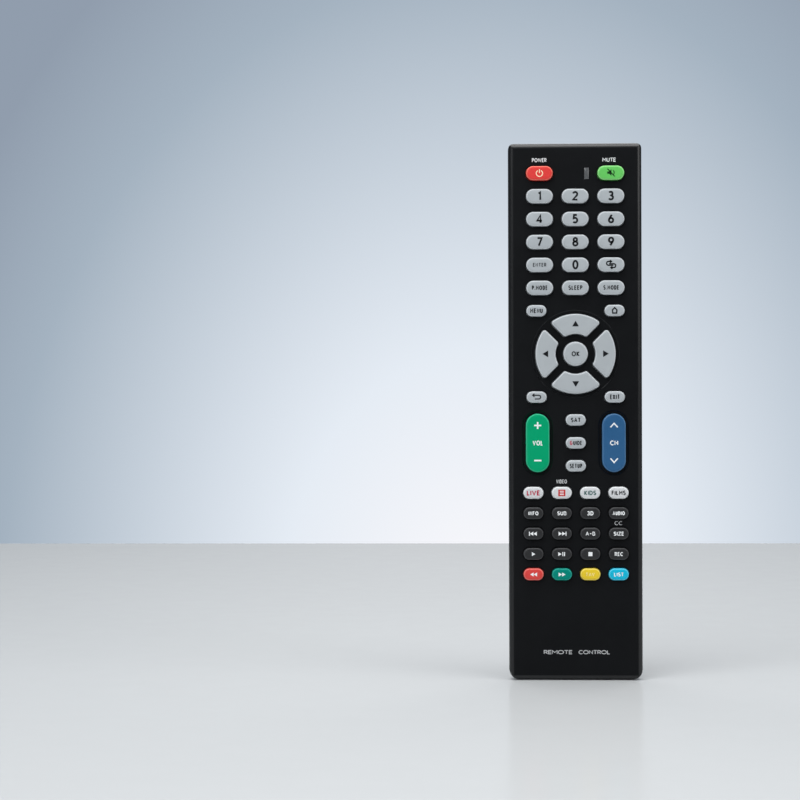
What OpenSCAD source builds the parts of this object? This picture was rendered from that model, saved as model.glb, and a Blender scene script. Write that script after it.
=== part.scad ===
// Universal television remote control, standing on its lower end with the keys facing -Y.
// Lengths are millimetres. A depth is counted backwards, along +Y, from the flat key face.

/* [Case] */
// Width of the face
body_w = 49.5; // [44:0.5:60]
// Length from the standing end to the infrared end
body_l = 199.5; // [179:0.5:230]
// Thickness of the case walls
wall = 1.5; // [1.2:0.1:2]
// Thickness of the key plate
plate_t = 1.5; // [1.2:0.1:2.5]
// Corner radius of the face outline at the infrared end
corner_r = 2.2; // [1.6:0.1:5]
// Corner radius of the face outline at the standing end
foot_r = 4; // [1.6:0.1:5]
// Setback of the front shell at the standing end, which leaves the rear shell to stand on
foot_step = 0.25; // [0:0.05:0.5]
// Rounding of the rim round the face
rim_r = 2; // [0.4:0.1:2.2]
// Width of the flat strip along the back
keel_w = 16; // [12:1:24]
// Rounding of the back at its two ends
end_r = 1.2; // [0.5:0.1:1.4]
// Height of the parting groove between the shells
seam_h = 0.4; // [0.2:0.1:0.8]
// Depth of the parting groove
seam_in = 0.3; // [0.1:0.1:0.6]
// Upright strip of the rear shell below the parting line
side_land = 1; // [0.5:0.1:2]
// Thickness of the ribs that carry the board
rib_t = 1.2; // [0.8:0.1:2]
// Distance of the lower rib, and of the ribs from each other, above the cover
rib_pitch = 40; // [25:1:45]

/* [Key rows] */
// Distance of the first row below the infrared end
first_row = 11.3; // [9.5:0.1:14]
// Row pitch of the number block and of the small middle keys
row_pitch = 8.5; // [8:0.1:9]
// Column pitch of the number block
number_pitch = 13.2; // [12.6:0.1:14]
// Width of a number key
number_w = 9.9; // [9:0.1:10.9]
// Height of a number key
number_h = 5.3; // [5:0.1:6.2]
// Width of a side or middle key
small_w = 7.4; // [6.6:0.1:8.2]
// Height of a side or middle key
small_h = 4.2; // [4:0.1:5.2]
// Width of a key in the rows of four
four_w = 7.4; // [6.6:0.1:8.2]
// Height of a key in the rows of four
four_h = 4.4; // [4:0.1:5.2]
// Distance from the small middle keys down to the rows of four
four_drop = 10; // [9:0.1:12]
// Row pitch of the rows of four
four_row_pitch = 7.55; // [7.1:0.05:8.5]
// Column pitch of the rows of four
four_pitch = 10.5; // [9.8:0.1:11]

/* [Key form] */
// Height of a key above the face
key_rise = 2; // [1.2:0.1:3]
// Travel of a pressed key
key_travel = 0.8; // [0.5:0.1:1.2]
// Rounding of a key's top edge
key_round = 0.6; // [0.3:0.1:1]
// Reach of a key's hidden flange past the edge of its hole
flange_reach = 0.4; // [0.25:0.05:0.6]
// Thickness of the hidden flange
flange_t = 0.5; // [0.4:0.05:0.8]
// Setback of the stem that reaches through the mat
stem_in = 0.8; // [0.6:0.05:1]

/* [Direction pad] */
// Outer radius of the four arrow keys
pad_r = 14.8; // [13.5:0.1:17]
// Inner radius of the four arrow keys
pad_in_r = 7.4; // [7:0.1:9]
// Radius of the centre key
ok_r = 4.5; // [3.5:0.1:5]
// Gap between neighbouring arrow keys
pad_gap = 3.2; // [2.8:0.1:4.4]
// Corner rounding of the arrow keys
pad_round = 1; // [1:0.1:1.5]
// Band of the round recess outside the arrow keys
pad_band = 1.2; // [0.8:0.1:1.6]
// Distance from the arrow keys to the row lines above and below
pad_margin = 1.2; // [0.6:0.1:2]
// Depth of the recesses round the pad and the rockers
recess_t = 0.4; // [0.2:0.1:0.6]
// Width of the sloping edge of those recesses
recess_slope = 0.4; // [0.1:0.1:0.6]

/* [Rockers] */
// Width of the volume and channel rockers
rocker_w = 8.7; // [7.5:0.1:9.5]
// Distance of the rockers from the middle line
rocker_x = 14.1; // [13.5:0.1:14.5]
// Length of the rockers
rocker_l = 21.7; // [19:0.1:23]
// Band of the recess round a rocker
rocker_band = 0.9; // [0.6:0.1:1.3]
// Radius of the pivot pins under the plate
pivot_r = 0.6; // [0.4:0.05:0.6]
// Length of a pivot pin
pivot_l = 0.9; // [0.7:0.1:1.2]

/* [Inside] */
// Thickness of the keypad mat
mat_t = 0.6; // [0.4:0.1:1]
// Border of the mat that the frame of the front shell holds
mat_border = 0.7; // [0.5:0.1:1]
// Room between the mat or board and the side walls
side_gap = 1.35; // [1.2:0.05:1.6]
// Thickness of the circuit board
board_t = 1.2; // [0.8:0.1:1.6]
// Reach of the front wall past the mat
wall_reach = 0.35; // [0.1:0.05:0.8]
// Width of the indicator light
indicator_w = 1.6; // [1.4:0.1:3]
// Height of the indicator light
indicator_h = 4.2; // [3:0.1:5]
// Distance of the indicator light from the middle line
indicator_x = 4.3; // [0:0.1:4.5]
// Radius of the infrared light
led_r = 2.5; // [1.5:0.1:2.8]
// Length of the straight part of the infrared light
led_l = 5; // [3:0.5:8]
// Half width of the infrared window
window_r = 4.5; // [3.5:0.1:6]
// Distance of the window below the parting line
window_drop = 1; // [0.5:0.1:2]
// Reach and thickness of the window's inner lip
window_lip = 0.9; // [0.6:0.1:1.5]

/* [Board parts] */
// Width of the control chip
chip_w = 8; // [5:0.5:10]
// Length of the control chip
chip_l = 12; // [6:0.5:18]
// Thickness of the control chip
chip_t = 1.8; // [1:0.1:2.5]
// Room between the chip and its neighbours
chip_room = 1; // [0.6:0.1:1.5]
// Width of the resonator
resonator_w = 5; // [3:0.5:5]
// Length of the resonator
resonator_l = 2.4; // [1.5:0.1:4]
// Height of the resonator
resonator_t = 3.5; // [2:0.1:5]
// Radius of the capacitor
capacitor_r = 2.5; // [1.5:0.1:2.7]
// Length of the capacitor
capacitor_l = 7; // [5:0.5:11]
// Width of the infrared light's rim
led_rim = 0.4; // [0.2:0.1:0.6]
// Width of the infrared light's leads
lead_w = 0.5; // [0.3:0.1:0.7]
// Length of the leads below the infrared light
lead_drop = 2; // [1:0.1:4]

/* [Battery bay] */
// Radius of a cell
cell_r = 5.25; // [4.9:0.05:6]
// Length of a cell with its button
cell_l = 44.5; // [40:0.5:52]
// Bevel round the ends of a cell
cell_edge = 0.4; // [0.2:0.1:0.8]
// Radius of the button on a cell
button_r = 1.9; // [1.5:0.1:2.5]
// Height of the button on a cell
button_h = 0.9; // [0.6:0.1:1.5]
// Length of a seated contact spring
spring_l = 3.4; // [3.2:0.1:6]
// Turns of a contact spring
spring_turns = 3; // [2:1:3]
// Wire radius of a contact spring
wire_r = 0.25; // [0.15:0.05:0.3]
// Radius of a contact spring at its plate
spring_wide = 3.6; // [3:0.1:4]
// Radius of a contact spring at its cell
spring_narrow = 2.2; // [1.5:0.1:2.8]
// Thickness of the contact strips
strip_t = 0.4; // [0.3:0.05:0.6]
// Width of a contact plate
strip_w = 7.4; // [7:0.1:9]
// Thickness of the bay floor
floor_t = 0.8; // [0.6:0.1:1.5]
// Thickness of the bay side walls
bay_wall = 1; // [0.7:0.1:1.4]
// Height of the cover's lower edge above the standing end
cover_start = 5; // [4:0.1:8]
// Width of the ledge under the cover's edge
ledge_w = 1.6; // [1.5:0.1:2.5]
// Thickness of that ledge
ledge_t = 1; // [0.7:0.1:1.5]
// Reach of the cover above the bay, for its latch
latch_l = 4.5; // [3.5:0.1:8]
// Width of the latch tongue
latch_w = 10; // [8:0.5:12]
// Length of the latch tongue
tongue_l = 9; // [7:0.5:12]
// Width of the slits beside the latch tongue
slit_w = 0.8; // [0.5:0.1:1.2]
// Width of a grip groove on the latch
grip_w = 0.6; // [0.4:0.1:0.8]
// Depth of the grip grooves
grip_t = 0.5; // [0.3:0.1:0.8]
// Depth of the thumb hollow beside the latch
thumb_t = 0.8; // [0.4:0.1:0.9]
// Length of the two lower tabs
tab_l = 1.5; // [1:0.1:1.8]
// Width of a tab
tab_w = 3; // [2:0.1:4]
// Distance of a tab from the middle line
tab_x = 9; // [8:0.1:9.2]
// Thickness of a tab
tab_t = 1; // [0.7:0.1:1.2]

/* [Screws] */
// Radius of a screw shank
screw_r = 0.95; // [0.7:0.05:1.1]
// Radius of a screw head
head_r = 1.9; // [1.5:0.1:2]
// Height of a screw head
head_h = 1.2; // [0.8:0.1:1.3]
// Width of the cross recess in a head
cross_w = 0.5; // [0.3:0.1:0.7]
// Radius of a screw post
post_r = 2.2; // [1.8:0.1:2.4]
// Height of the lower screw above the bay's lower wall
screw_start = 5.5; // [4.5:0.1:7]
// Distance between the screws
screw_pitch = 12; // [8:0.5:13]

/* [Clearances] */
// Room round a key in its hole
key_gap = 0.3; // [0.2:0.05:0.4]
// Room between a resting flange and the plate
lift_gap = 0.15; // [0.1:0.05:0.3]
// Room between stacked parts
rest_gap = 0.1; // [0.05:0.05:0.2]
// Room round the battery cover and its tabs
run_gap = 0.25; // [0.2:0.05:0.4]
// Room round parts that are fixed in place
fit_gap = 0.05; // [0.02:0.01:0.1]
// Room between a cell and the bay floor
cell_gap = 0.15; // [0.1:0.05:0.5]
// Room between a cell and the cover
cover_gap = 0.3; // [0.2:0.05:1]

/* [Hidden] */
$fn = 64;

case_tint = [0.10, 0.10, 0.11];
grey = [0.66, 0.68, 0.70];
pale = [0.80, 0.81, 0.82];
dark = [0.22, 0.22, 0.23];
metal = [0.74, 0.74, 0.72];

// Depths of the stack, from the key plate to the back.
flange_d = plate_t + lift_gap;
flange_back = flange_d + flange_t;
stem_d = flange_back + mat_t;
mat_d = flange_back + key_travel + rest_gap;
board_d = mat_d + mat_t;
board_back = board_d + board_t;
floor_d = board_back + rest_gap;
bay_d = floor_d + floor_t;
cell_d = bay_d + cell_gap + cell_r;
body_d = cell_d + cell_r + cover_gap + wall;
split_d = board_d + wall_reach;
pivot_d = plate_t + lift_gap + pivot_r;
flange_w = key_gap + flange_reach;

// The key face lies where the whole remote is centred on the depth axis.
front_y = (key_rise - body_d) / 2;

// The back is part of a round bar through the edges of the flat strip and of the upright land.
land_d = split_d + side_land;
belly_c = (pow(body_w / 2, 2) + pow(land_d, 2) - pow(keel_w / 2, 2) - pow(body_d, 2))
    / (2 * (body_d - land_d));
belly_r = norm([keel_w / 2, body_d + belly_c]);

// Heights of the key rows, from the infrared end down.
function row_z(row) = body_l - first_row - row * row_pitch;
number_rows = 6;
menu_z = row_z(number_rows);
pad_drop = pad_r + pad_margin;
pad_z = menu_z - pad_drop;
return_z = pad_z - pad_drop;
function middle_z(row) = return_z - (row + 1) * row_pitch;
function four_z(row) = middle_z(2) - four_drop - row * four_row_pitch;

// The side keys line up with the outer edge of the number block.
side_x = number_pitch + number_w / 2 - small_w / 2;

// The mat reaches past the outermost keys, and the frame of the front shell holds its border.
frame_x = 1.5 * four_pitch + four_w / 2 + flange_w + mat_border;
frame_z0 = four_z(4) - four_h / 2 - flange_w - mat_border;
frame_z1 = row_z(0) + number_h / 2 + flange_w + mat_border;
mat_x = body_w / 2 - wall - side_gap;
mat_z0 = frame_z0 - mat_border;
mat_z1 = frame_z1 + mat_border;
board_z0 = cover_start;

// Battery bay and cover.
cell_x = cell_r + rest_gap;
bay_x = cell_x + cell_r + cover_gap;
cover_x = bay_x + ledge_w;
bay_z0 = cover_start + ledge_w;
bay_z1 = bay_z0 + 2 * strip_t + spring_l + cell_l + fit_gap;
cover_end = bay_z1 + latch_l;
tab_inset = wall + lift_gap;
tab_in_d = sqrt(pow(belly_r - tab_inset - tab_t, 2) - pow(tab_x + tab_w / 2, 2)) - belly_c;
tab_sweep_d = body_d - norm([body_d - tab_in_d, tab_l]) - run_gap;
strip_d = tab_sweep_d - run_gap;

// Infrared light and window.
window_d = split_d + window_drop + window_r;
lens_z = body_l - wall - fit_gap - window_lip;
lens_face_z = body_l - wall - 2 * fit_gap;
led_d = board_back + fit_gap + led_r + led_rim;
led_z = lens_z - rest_gap - led_r - led_l;

NUMBER_KEYS = [
    ["power_key", "", "mute_key"],
    ["digit_1_key", "digit_2_key", "digit_3_key"],
    ["digit_4_key", "digit_5_key", "digit_6_key"],
    ["digit_7_key", "digit_8_key", "digit_9_key"],
    ["enter_key", "digit_0_key", "recall_key"],
    ["picture_key", "sleep_key", "sound_key"],
];
SIDE_KEYS = [["menu_key", "home_key"], ["return_key", "exit_key"]];
MIDDLE_KEYS = ["satellite_key", "guide_key", "setup_key"];
ARROW_KEYS = ["up_key", "left_key", "down_key", "right_key"];
ROCKERS = ["volume_rocker", "channel_rocker"];
FOUR_KEYS = [
    ["app_1_key", "app_2_key", "app_3_key", "app_4_key"],
    ["info_key", "subtitle_key", "screen_key", "audio_key"],
    ["previous_key", "next_key", "repeat_key", "format_key"],
    ["play_key", "pause_key", "stop_key", "record_key"],
    ["red_key", "green_key", "yellow_key", "blue_key"],
];
FOUR_TINTS = [pale, dark, dark, dark];
TINTS = [
    ["power_key", [0.86, 0.25, 0.22]],
    ["mute_key", [0.40, 0.74, 0.38]],
    ["volume_rocker", [0.04, 0.60, 0.42]],
    ["channel_rocker", [0.20, 0.37, 0.55]],
    ["red_key", [0.84, 0.29, 0.27]],
    ["green_key", [0.06, 0.52, 0.46]],
    ["yellow_key", [0.88, 0.76, 0.22]],
    ["blue_key", [0.20, 0.70, 0.83]],
];

// A key is its name, form, place on the face, size, turn and plain colour.
KEYS = concat(
    [for (row = [0:5]) for (col = [0:2]) if (NUMBER_KEYS[row][col] != "")
        [NUMBER_KEYS[row][col], "pill", [(col - 1) * number_pitch, row_z(row)], [number_w, number_h],
            0, grey]],
    [for (row = [0:1]) for (col = [0:1])
        [SIDE_KEYS[row][col], "pill", [(2 * col - 1) * side_x, menu_z - row * 2 * pad_drop],
            [small_w, small_h], 0, grey]],
    [for (turn = [0:3]) [ARROW_KEYS[turn], "arrow", [0, pad_z], [pad_r, pad_in_r], 90 * turn, grey]],
    [["ok_key", "round", [0, pad_z], [ok_r, ok_r], 0, grey]],
    [for (row = [0:2]) [MIDDLE_KEYS[row], "pill", [0, middle_z(row)], [small_w, small_h], 0, grey]],
    [for (col = [0:1])
        [ROCKERS[col], "rocker", [(2 * col - 1) * rocker_x, middle_z(1)], [rocker_l, rocker_w], 90, grey]],
    [for (row = [0:4]) for (col = [0:3])
        [FOUR_KEYS[row][col], "pill", [(col - 1.5) * four_pitch, four_z(row)], [four_w, four_h],
            0, FOUR_TINTS[row]]]
);
function tint(key) = let (own = [for (t = TINTS) if (t[0] == key[0]) t[1]]) len(own) > 0 ? own[0] : key[5];

// A drawing on the face, X by height, as a slab between two depths.
module plate(d0, d1) {
    translate([0, front_y + d1, 0]) rotate([90, 0, 0]) linear_extrude(d1 - d0) children();
}

// A cross-section, X by depth, as a bar between two heights.
module bar(z0, z1) {
    translate([0, front_y, z0]) linear_extrude(z1 - z0) children();
}

// A box between two X values, depths and heights.
module box(x0, x1, d0, d1, z0, z1) {
    translate([x0, front_y + d0, z0]) cube([x1 - x0, d1 - d0, z1 - z0]);
}

// A drawing point on the face, with the children's Z pointing out of the face.
module on_face(place) {
    translate([place[0], front_y, place[1]]) rotate([90, 0, 0]) children();
}

// A rectangle whose lower and upper corners have their own radii.
module rounded_rect(x, y0, y1, low_r, high_r) {
    translate([-x, y0 + low_r]) square([2 * x, y1 - y0 - low_r - high_r]);
    translate([-x + low_r, y0]) square([2 * (x - low_r), 2 * low_r]);
    translate([-x + high_r, y1 - 2 * high_r]) square([2 * (x - high_r), 2 * high_r]);
    for (side = [-1, 1]) {
        translate([side * (x - low_r), y0 + low_r]) circle(low_r);
        translate([side * (x - high_r), y1 - high_r]) circle(high_r);
    }
}

// Outline of the case, drawn in by an inset and raised at the standing end.
module face_outline(inset, raised = 0) {
    rounded_rect(body_w / 2 - inset, inset + raised, body_l - inset, max(foot_r - inset, 0.4),
        max(corner_r - inset, 0.4));
}

// Section of a slab whose two front edges are rounded, for a width that starts at x0.
module rim_section(x0, x1, depth) {
    translate([x0, rim_r]) square([x1 - x0, depth - rim_r]);
    translate([x0 + rim_r, 0]) square([x1 - x0 - 2 * rim_r, depth]);
    for (x = [x0 + rim_r, x1 - rim_r]) {
        translate([x, rim_r]) circle(rim_r);
    }
}

// Solid form of the rear shell, drawn in by an inset and open towards the face at a depth.
module belly(inset, front_d) {
    round = max(end_r - inset, 0);
    r = belly_r - inset;
    l = body_l - 2 * inset;
    intersection() {
        translate([0, front_y - belly_c, inset]) rotate_extrude() {
            translate([0, round]) square([r, l - 2 * round]);
            if (round > 0) {
                square([r - round, l]);
                translate([r - round, round]) circle(round);
                translate([r - round, l - round]) circle(round);
            }
        }
        plate(front_d, body_d - inset) face_outline(inset);
    }
}

// Layer of the belly between two insets.
module belly_layer(outer, inner) {
    difference() {
        belly(outer, split_d);
        belly(inner, split_d - 1);
    }
}

module slot_shape(length, r) {
    square([length - 2 * r, 2 * r], center = true);
    for (side = [-1, 1]) {
        translate([side * (length / 2 - r), 0]) circle(r);
    }
}

// Upper arrow key: a ring sector whose sides run beside the diagonals.
module arrow_shape(margin) {
    apex = pad_gap / sqrt(2);
    offset(r = pad_round + margin) offset(delta = -pad_round) intersection() {
        difference() {
            circle(pad_r);
            circle(pad_in_r);
        }
        polygon([[0, apex], [pad_r, apex + pad_r], [-pad_r, apex + pad_r]]);
    }
}

// Outline of a key in its place on the face, widened by a margin.
module key_outline(key, margin) {
    translate(key[2]) rotate(key[4]) {
        if (key[1] == "arrow") arrow_shape(margin);
        else if (key[1] == "round") circle(key[3][0] + margin);
        else slot_shape(key[3][0] + 2 * margin, key[3][1] / 2 + margin);
    }
}

// Half section of a key: stem, flange and cap with a rounded top edge.
module key_section(r, flange) {
    translate([0, -stem_d]) square([r - stem_in, stem_d]);
    translate([0, -flange_back]) square([r + flange, flange_t]);
    translate([0, -flange_back]) square([r, flange_back + key_rise - key_round]);
    square([r - key_round, key_rise]);
    translate([r - key_round, key_rise - key_round]) circle(key_round);
}

// A half section carried round a pill, along its straight run and round both ends.
module pill(run) {
    rotate([90, 0, 90]) linear_extrude(run, center = true) {
        children();
        mirror([1, 0]) children();
    }
    for (side = [-1, 1]) {
        translate([side * run / 2, 0, 0]) rotate(-90 * side) rotate_extrude(angle = 180) children();
    }
}

module pill_key(length, width, flange) {
    pill(length - width) key_section(width / 2, flange);
}

// Half section of a recess, whose edge slopes outwards to the face and past it.
module recess_section(r) {
    polygon([[0, -recess_t], [r, -recess_t], [r + 2 * recess_slope, recess_t], [0, recess_t]]);
}

// The pivot pins run under the plate at both sides of a rocker's middle.
module rocker_key(length, width) {
    pill_key(length, width, 0);
    translate([0, width / 2 + pivot_l, -pivot_d]) rotate([90, 0, 0])
        cylinder(r = pivot_r, h = width + 2 * pivot_l);
}

module arrow_key() {
    slope = 0.1;
    intersection() {
        translate([0, 0, -flange_back]) linear_extrude(flange_back + key_rise) arrow_shape(0);
        rotate_extrude() polygon([
            [pad_in_r - slope, -flange_back], [pad_r + slope, -flange_back],
            [pad_r + slope, key_rise - key_round], [pad_r - key_round, key_rise],
            [pad_in_r + key_round, key_rise], [pad_in_r - slope, key_rise - key_round],
        ]);
    }
    translate([0, 0, -flange_back]) linear_extrude(flange_t) arrow_shape(flange_w);
    translate([0, 0, -stem_d]) linear_extrude(stem_d) arrow_shape(-stem_in);
}

module push_key(key) {
    color(tint(key)) on_face(key[2]) rotate(key[4]) {
        if (key[1] == "arrow") arrow_key();
        else if (key[1] == "round") rotate_extrude() key_section(key[3][0], flange_w);
        else if (key[1] == "rocker") rocker_key(key[3][0], key[3][1]);
        else pill_key(key[3][0], key[3][1], flange_w);
    }
}

// Room for the flanges of the keys, which the frame and the posts leave free.
module key_rooms() {
    for (key = KEYS) {
        key_outline(key, flange_w + key_gap);
    }
}

module screw_places() {
    for (i = [0, 1]) {
        translate([0, bay_z0 + screw_start + i * screw_pitch]) children();
    }
}

module indicator_outline(margin) {
    translate([indicator_x, row_z(0)])
        square([indicator_w, indicator_h] + 2 * [margin, margin], center = true);
}

// The face has its rim rounded along the sides and ends, and steps in at the parting groove.
module front_skin() {
    back = split_d - seam_h;
    difference() {
        union() {
            intersection() {
                plate(0, back) face_outline(0, foot_step);
                bar(0, body_l) rim_section(-body_w / 2, body_w / 2, back);
                translate([-body_w / 2, front_y, 0]) rotate([90, 0, 90]) linear_extrude(body_w)
                    mirror([1, -1]) rim_section(foot_step, body_l, back);
            }
            plate(back, split_d) face_outline(seam_in, foot_step);
        }
        plate(plate_t, split_d + 1) face_outline(wall, foot_step);
    }
}

module front_shell() {
    color(case_tint) difference() {
        union() {
            front_skin();
            plate(plate_t / 2, mat_d) difference() {
                translate([-body_w / 2 + wall / 2, mat_z0]) square([body_w - wall, mat_z1 - mat_z0]);
                translate([-frame_x, frame_z0]) square([2 * frame_x, frame_z1 - frame_z0]);
                key_rooms();
            }
            plate(plate_t / 2, floor_d) difference() {
                screw_places() circle(post_r);
                key_rooms();
            }
        }
        for (key = KEYS) {
            plate(-1, plate_t + 1) key_outline(key, key_gap);
        }
        on_face([0, pad_z]) rotate_extrude() recess_section(pad_r + pad_band);
        for (key = KEYS) {
            if (key[1] == "rocker") on_face(key[2]) rotate(key[4]) pill(rocker_l - rocker_w)
                recess_section(rocker_w / 2 + rocker_band);
        }
        plate(-1, plate_t + 1) indicator_outline(fit_gap);
        plate(plate_t, floor_d + 1) screw_places() circle(screw_r + fit_gap);
    }
}

module bay_walls() {
    intersection() {
        belly(wall / 2, floor_d);
        box(-bay_x - bay_wall, bay_x + bay_wall, floor_d, body_d, bay_z0 - bay_wall, bay_z1 + bay_wall);
    }
    intersection() {
        belly_layer(wall / 2, wall + rest_gap + ledge_t);
        box(-cover_x - ledge_w, cover_x + ledge_w, bay_d, body_d, cover_start - ledge_w,
            cover_end + ledge_w);
    }
}

// The ribs carry the board at its edges and leave the middle free.
module board_ribs() {
    for (i = [1, 2]) {
        z = cover_end + i * rib_pitch;
        intersection() {
            belly(wall / 2, floor_d);
            bar(z, z + rib_t) difference() {
                translate([-body_w / 2, 0]) square([body_w, body_d]);
                translate([-bay_x, 0]) square([2 * bay_x, cell_d]);
            }
        }
    }
}

module arch(r) {
    translate([0, window_d]) circle(r);
    translate([-r, window_d]) square([2 * r, body_d]);
}

module cover_opening() {
    difference() {
        box(-cover_x - run_gap, cover_x + run_gap, bay_d, body_d + 1, cover_start - run_gap,
            cover_end + run_gap);
        belly(wall + rest_gap, bay_d - 1);
    }
}

// Room for a lower tab to swing in as the cover opens.
module tab_room(side) {
    half = tab_w / 2 + run_gap;
    intersection() {
        belly(wall, split_d);
        box(side * tab_x - half, side * tab_x + half, tab_sweep_d, body_d,
            cover_start - tab_l - 2 * run_gap, bay_z0 + tab_l);
    }
}

module rear_shell() {
    leg = strip_t + run_gap;
    color(case_tint) difference() {
        union() {
            belly_layer(0, wall);
            bay_walls();
            board_ribs();
        }
        box(-bay_x, bay_x, bay_d, body_d + 1, bay_z0, bay_z1);
        cover_opening();
        for (side = [-1, 1]) {
            tab_room(side);
            box(side * cell_x - leg, side * cell_x + leg, floor_d - 1, bay_d + 1, bay_z0, bay_z0 + leg);
        }
        plate(floor_d - 1, bay_d + 1) screw_places() circle(screw_r + rest_gap);
        bar(lens_face_z - fit_gap, body_l + 1) arch(window_r);
        translate([0, front_y + body_d - thumb_t + latch_w, cover_end]) sphere(latch_w);
    }
}

module battery_cover() {
    color(case_tint) difference() {
        union() {
            intersection() {
                belly_layer(0, wall);
                box(-cover_x, cover_x, bay_d, body_d + 1, cover_start, cover_end);
            }
            for (x = [-tab_x, tab_x]) {
                intersection() {
                    belly_layer(tab_inset, tab_inset + tab_t);
                    box(x - tab_w / 2, x + tab_w / 2, bay_d, body_d, cover_start - tab_l,
                        cover_start + tab_l);
                }
                intersection() {
                    belly_layer(wall / 2, tab_inset + tab_t);
                    box(x - tab_w / 2, x + tab_w / 2, bay_d, body_d, cover_start + run_gap,
                        cover_start + tab_l);
                }
            }
        }
        for (side = [-1, 1]) {
            box(side * latch_w / 2 - slit_w / 2, side * latch_w / 2 + slit_w / 2, bay_d, body_d + 1,
                cover_end - tongue_l, cover_end + 1);
        }
        for (i = [1:3]) {
            box(-latch_w / 3, latch_w / 3, body_d - grip_t, body_d + 1, cover_end - 3 * grip_w * i,
                cover_end - 3 * grip_w * i + grip_w);
        }
    }
}

module infrared_window() {
    color([0.12, 0.05, 0.07]) {
        intersection() {
            belly(0, split_d);
            bar(lens_face_z, body_l) arch(window_r - fit_gap);
        }
        intersection() {
            belly(wall + fit_gap, split_d);
            bar(lens_z, body_l - wall - fit_gap) arch(window_r + window_lip);
        }
    }
}

module keypad_mat() {
    color([0.30, 0.30, 0.32]) plate(mat_d, board_d) difference() {
        translate([-mat_x, mat_z0]) square([2 * mat_x, mat_z1 - mat_z0]);
        for (key = KEYS) {
            key_outline(key, key_gap - stem_in);
        }
        indicator_outline(key_gap);
        screw_places() circle(post_r + run_gap);
    }
}

// Leads drop from the light's base and bend over to the board.
module infrared_light() {
    translate([0, front_y + led_d, led_z]) rotate_extrude() {
        square([led_r + led_rim, led_rim]);
        square([led_r, led_l]);
        intersection() {
            translate([0, led_l]) circle(led_r);
            translate([0, led_l / 2]) square([led_r, led_l]);
        }
    }
    for (x = [-led_r / 2, led_r / 2]) {
        box(x - lead_w / 2, x + lead_w / 2, led_d - lead_w / 2, led_d + lead_w / 2, led_z - lead_drop,
            led_z + lead_w);
        box(x - lead_w / 2, x + lead_w / 2, board_back + fit_gap, led_d, led_z - lead_drop,
            led_z - lead_drop + lead_w);
    }
}

module circuit_board() {
    part_d = board_back + fit_gap;
    beside = chip_w / 2 + chip_room;
    color([0.16, 0.38, 0.22]) plate(board_d, board_back) difference() {
        translate([-mat_x, board_z0]) square([2 * mat_x, mat_z1 - board_z0]);
        screw_places() circle(post_r + run_gap);
    }
    color(case_tint)
        box(-chip_w / 2, chip_w / 2, part_d, part_d + chip_t, pad_z - chip_l / 2, pad_z + chip_l / 2);
    color([0.85, 0.55, 0.15])
        box(beside, beside + resonator_w, part_d, part_d + resonator_t, pad_z, pad_z + resonator_l);
    color([0.15, 0.20, 0.45]) translate([-beside - capacitor_r, front_y + part_d + capacitor_r, pad_z])
        cylinder(r = capacitor_r, h = capacitor_l);
    color([0.90, 0.92, 0.95]) infrared_light();
    color([0.55, 0.56, 0.58]) plate(0, board_d - fit_gap) indicator_outline(0);
}

// A cell from its flat end to its button.
module cell() {
    can = cell_l - button_h;
    rotate_extrude() polygon([
        [0, 0], [cell_r - cell_edge, 0], [cell_r, cell_edge], [cell_r, can - cell_edge],
        [cell_r - cell_edge, can], [button_r, can], [button_r, cell_l], [0, cell_l],
    ]);
}

module batteries() {
    y = front_y + cell_d;
    color([0.80, 0.45, 0.12]) {
        translate([-cell_x, y, bay_z0 + strip_t + spring_l]) cell();
        translate([cell_x, y, bay_z1 - strip_t - spring_l]) rotate([180, 0, 0]) cell();
    }
}

// Contact spring: a cone of wire that narrows from the plate to the cell.
rings_a_turn = 8;
wire_sides = 6;
rings = spring_turns * rings_a_turn;
spring_rise = spring_l - 2 * wire_r - 2 * fit_gap;
function spring_centre(i) = let (
    share = i / rings,
    r = spring_wide + (spring_narrow - spring_wide) * share,
    a = 360 * i / rings_a_turn
) [r * cos(a), r * sin(a), fit_gap + wire_r + spring_rise * share];
function spring_point(i, j) = let (a = 360 * i / rings_a_turn, b = 360 * j / wire_sides)
    spring_centre(i) + wire_r * [cos(b) * cos(a), cos(b) * sin(a), sin(b)];
spring_clear = min([for (i = [0:rings]) for (k = [i + rings_a_turn / 2:rings])
    norm(spring_centre(i) - spring_centre(k))]) - 2 * wire_r;
echo(spring_gap = spring_clear);

module contact_spring() {
    points = [for (i = [0:rings]) for (j = [0:wire_sides - 1]) spring_point(i, j)];
    sides = [for (i = [0:rings - 1]) for (j = [0:wire_sides - 1])
        let (next = (j + 1) % wire_sides, a = i * wire_sides, b = a + wire_sides)
        each [[a + j, a + next, b + next], [a + j, b + next, b + j]]];
    last = rings * wire_sides;
    ends = [for (j = [1:wire_sides - 2]) each [[0, j + 1, j], [last, last + j, last + j + 1]]];
    polyhedron(points, concat(sides, ends));
}

module contact_plate(x, z) {
    box(x - strip_w / 2, x + strip_w / 2, bay_d + run_gap, strip_d, z, z + strip_t);
}

module battery_contacts() {
    y = front_y + cell_d;
    color(metal) {
        for (x = [-cell_x, cell_x]) {
            contact_plate(x, bay_z0);
            box(x - strip_t, x + strip_t, board_back + fit_gap, bay_d + 2 * run_gap, bay_z0,
                bay_z0 + strip_t);
            contact_plate(x, bay_z1 - strip_t);
        }
        box(-cell_x, cell_x, cell_d - cell_r / 2, cell_d, bay_z1 - strip_t, bay_z1);
        translate([-cell_x, y, bay_z0 + strip_t]) contact_spring();
        translate([cell_x, y, bay_z1 - strip_t]) rotate([180, 0, 0]) contact_spring();
    }
}

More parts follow.
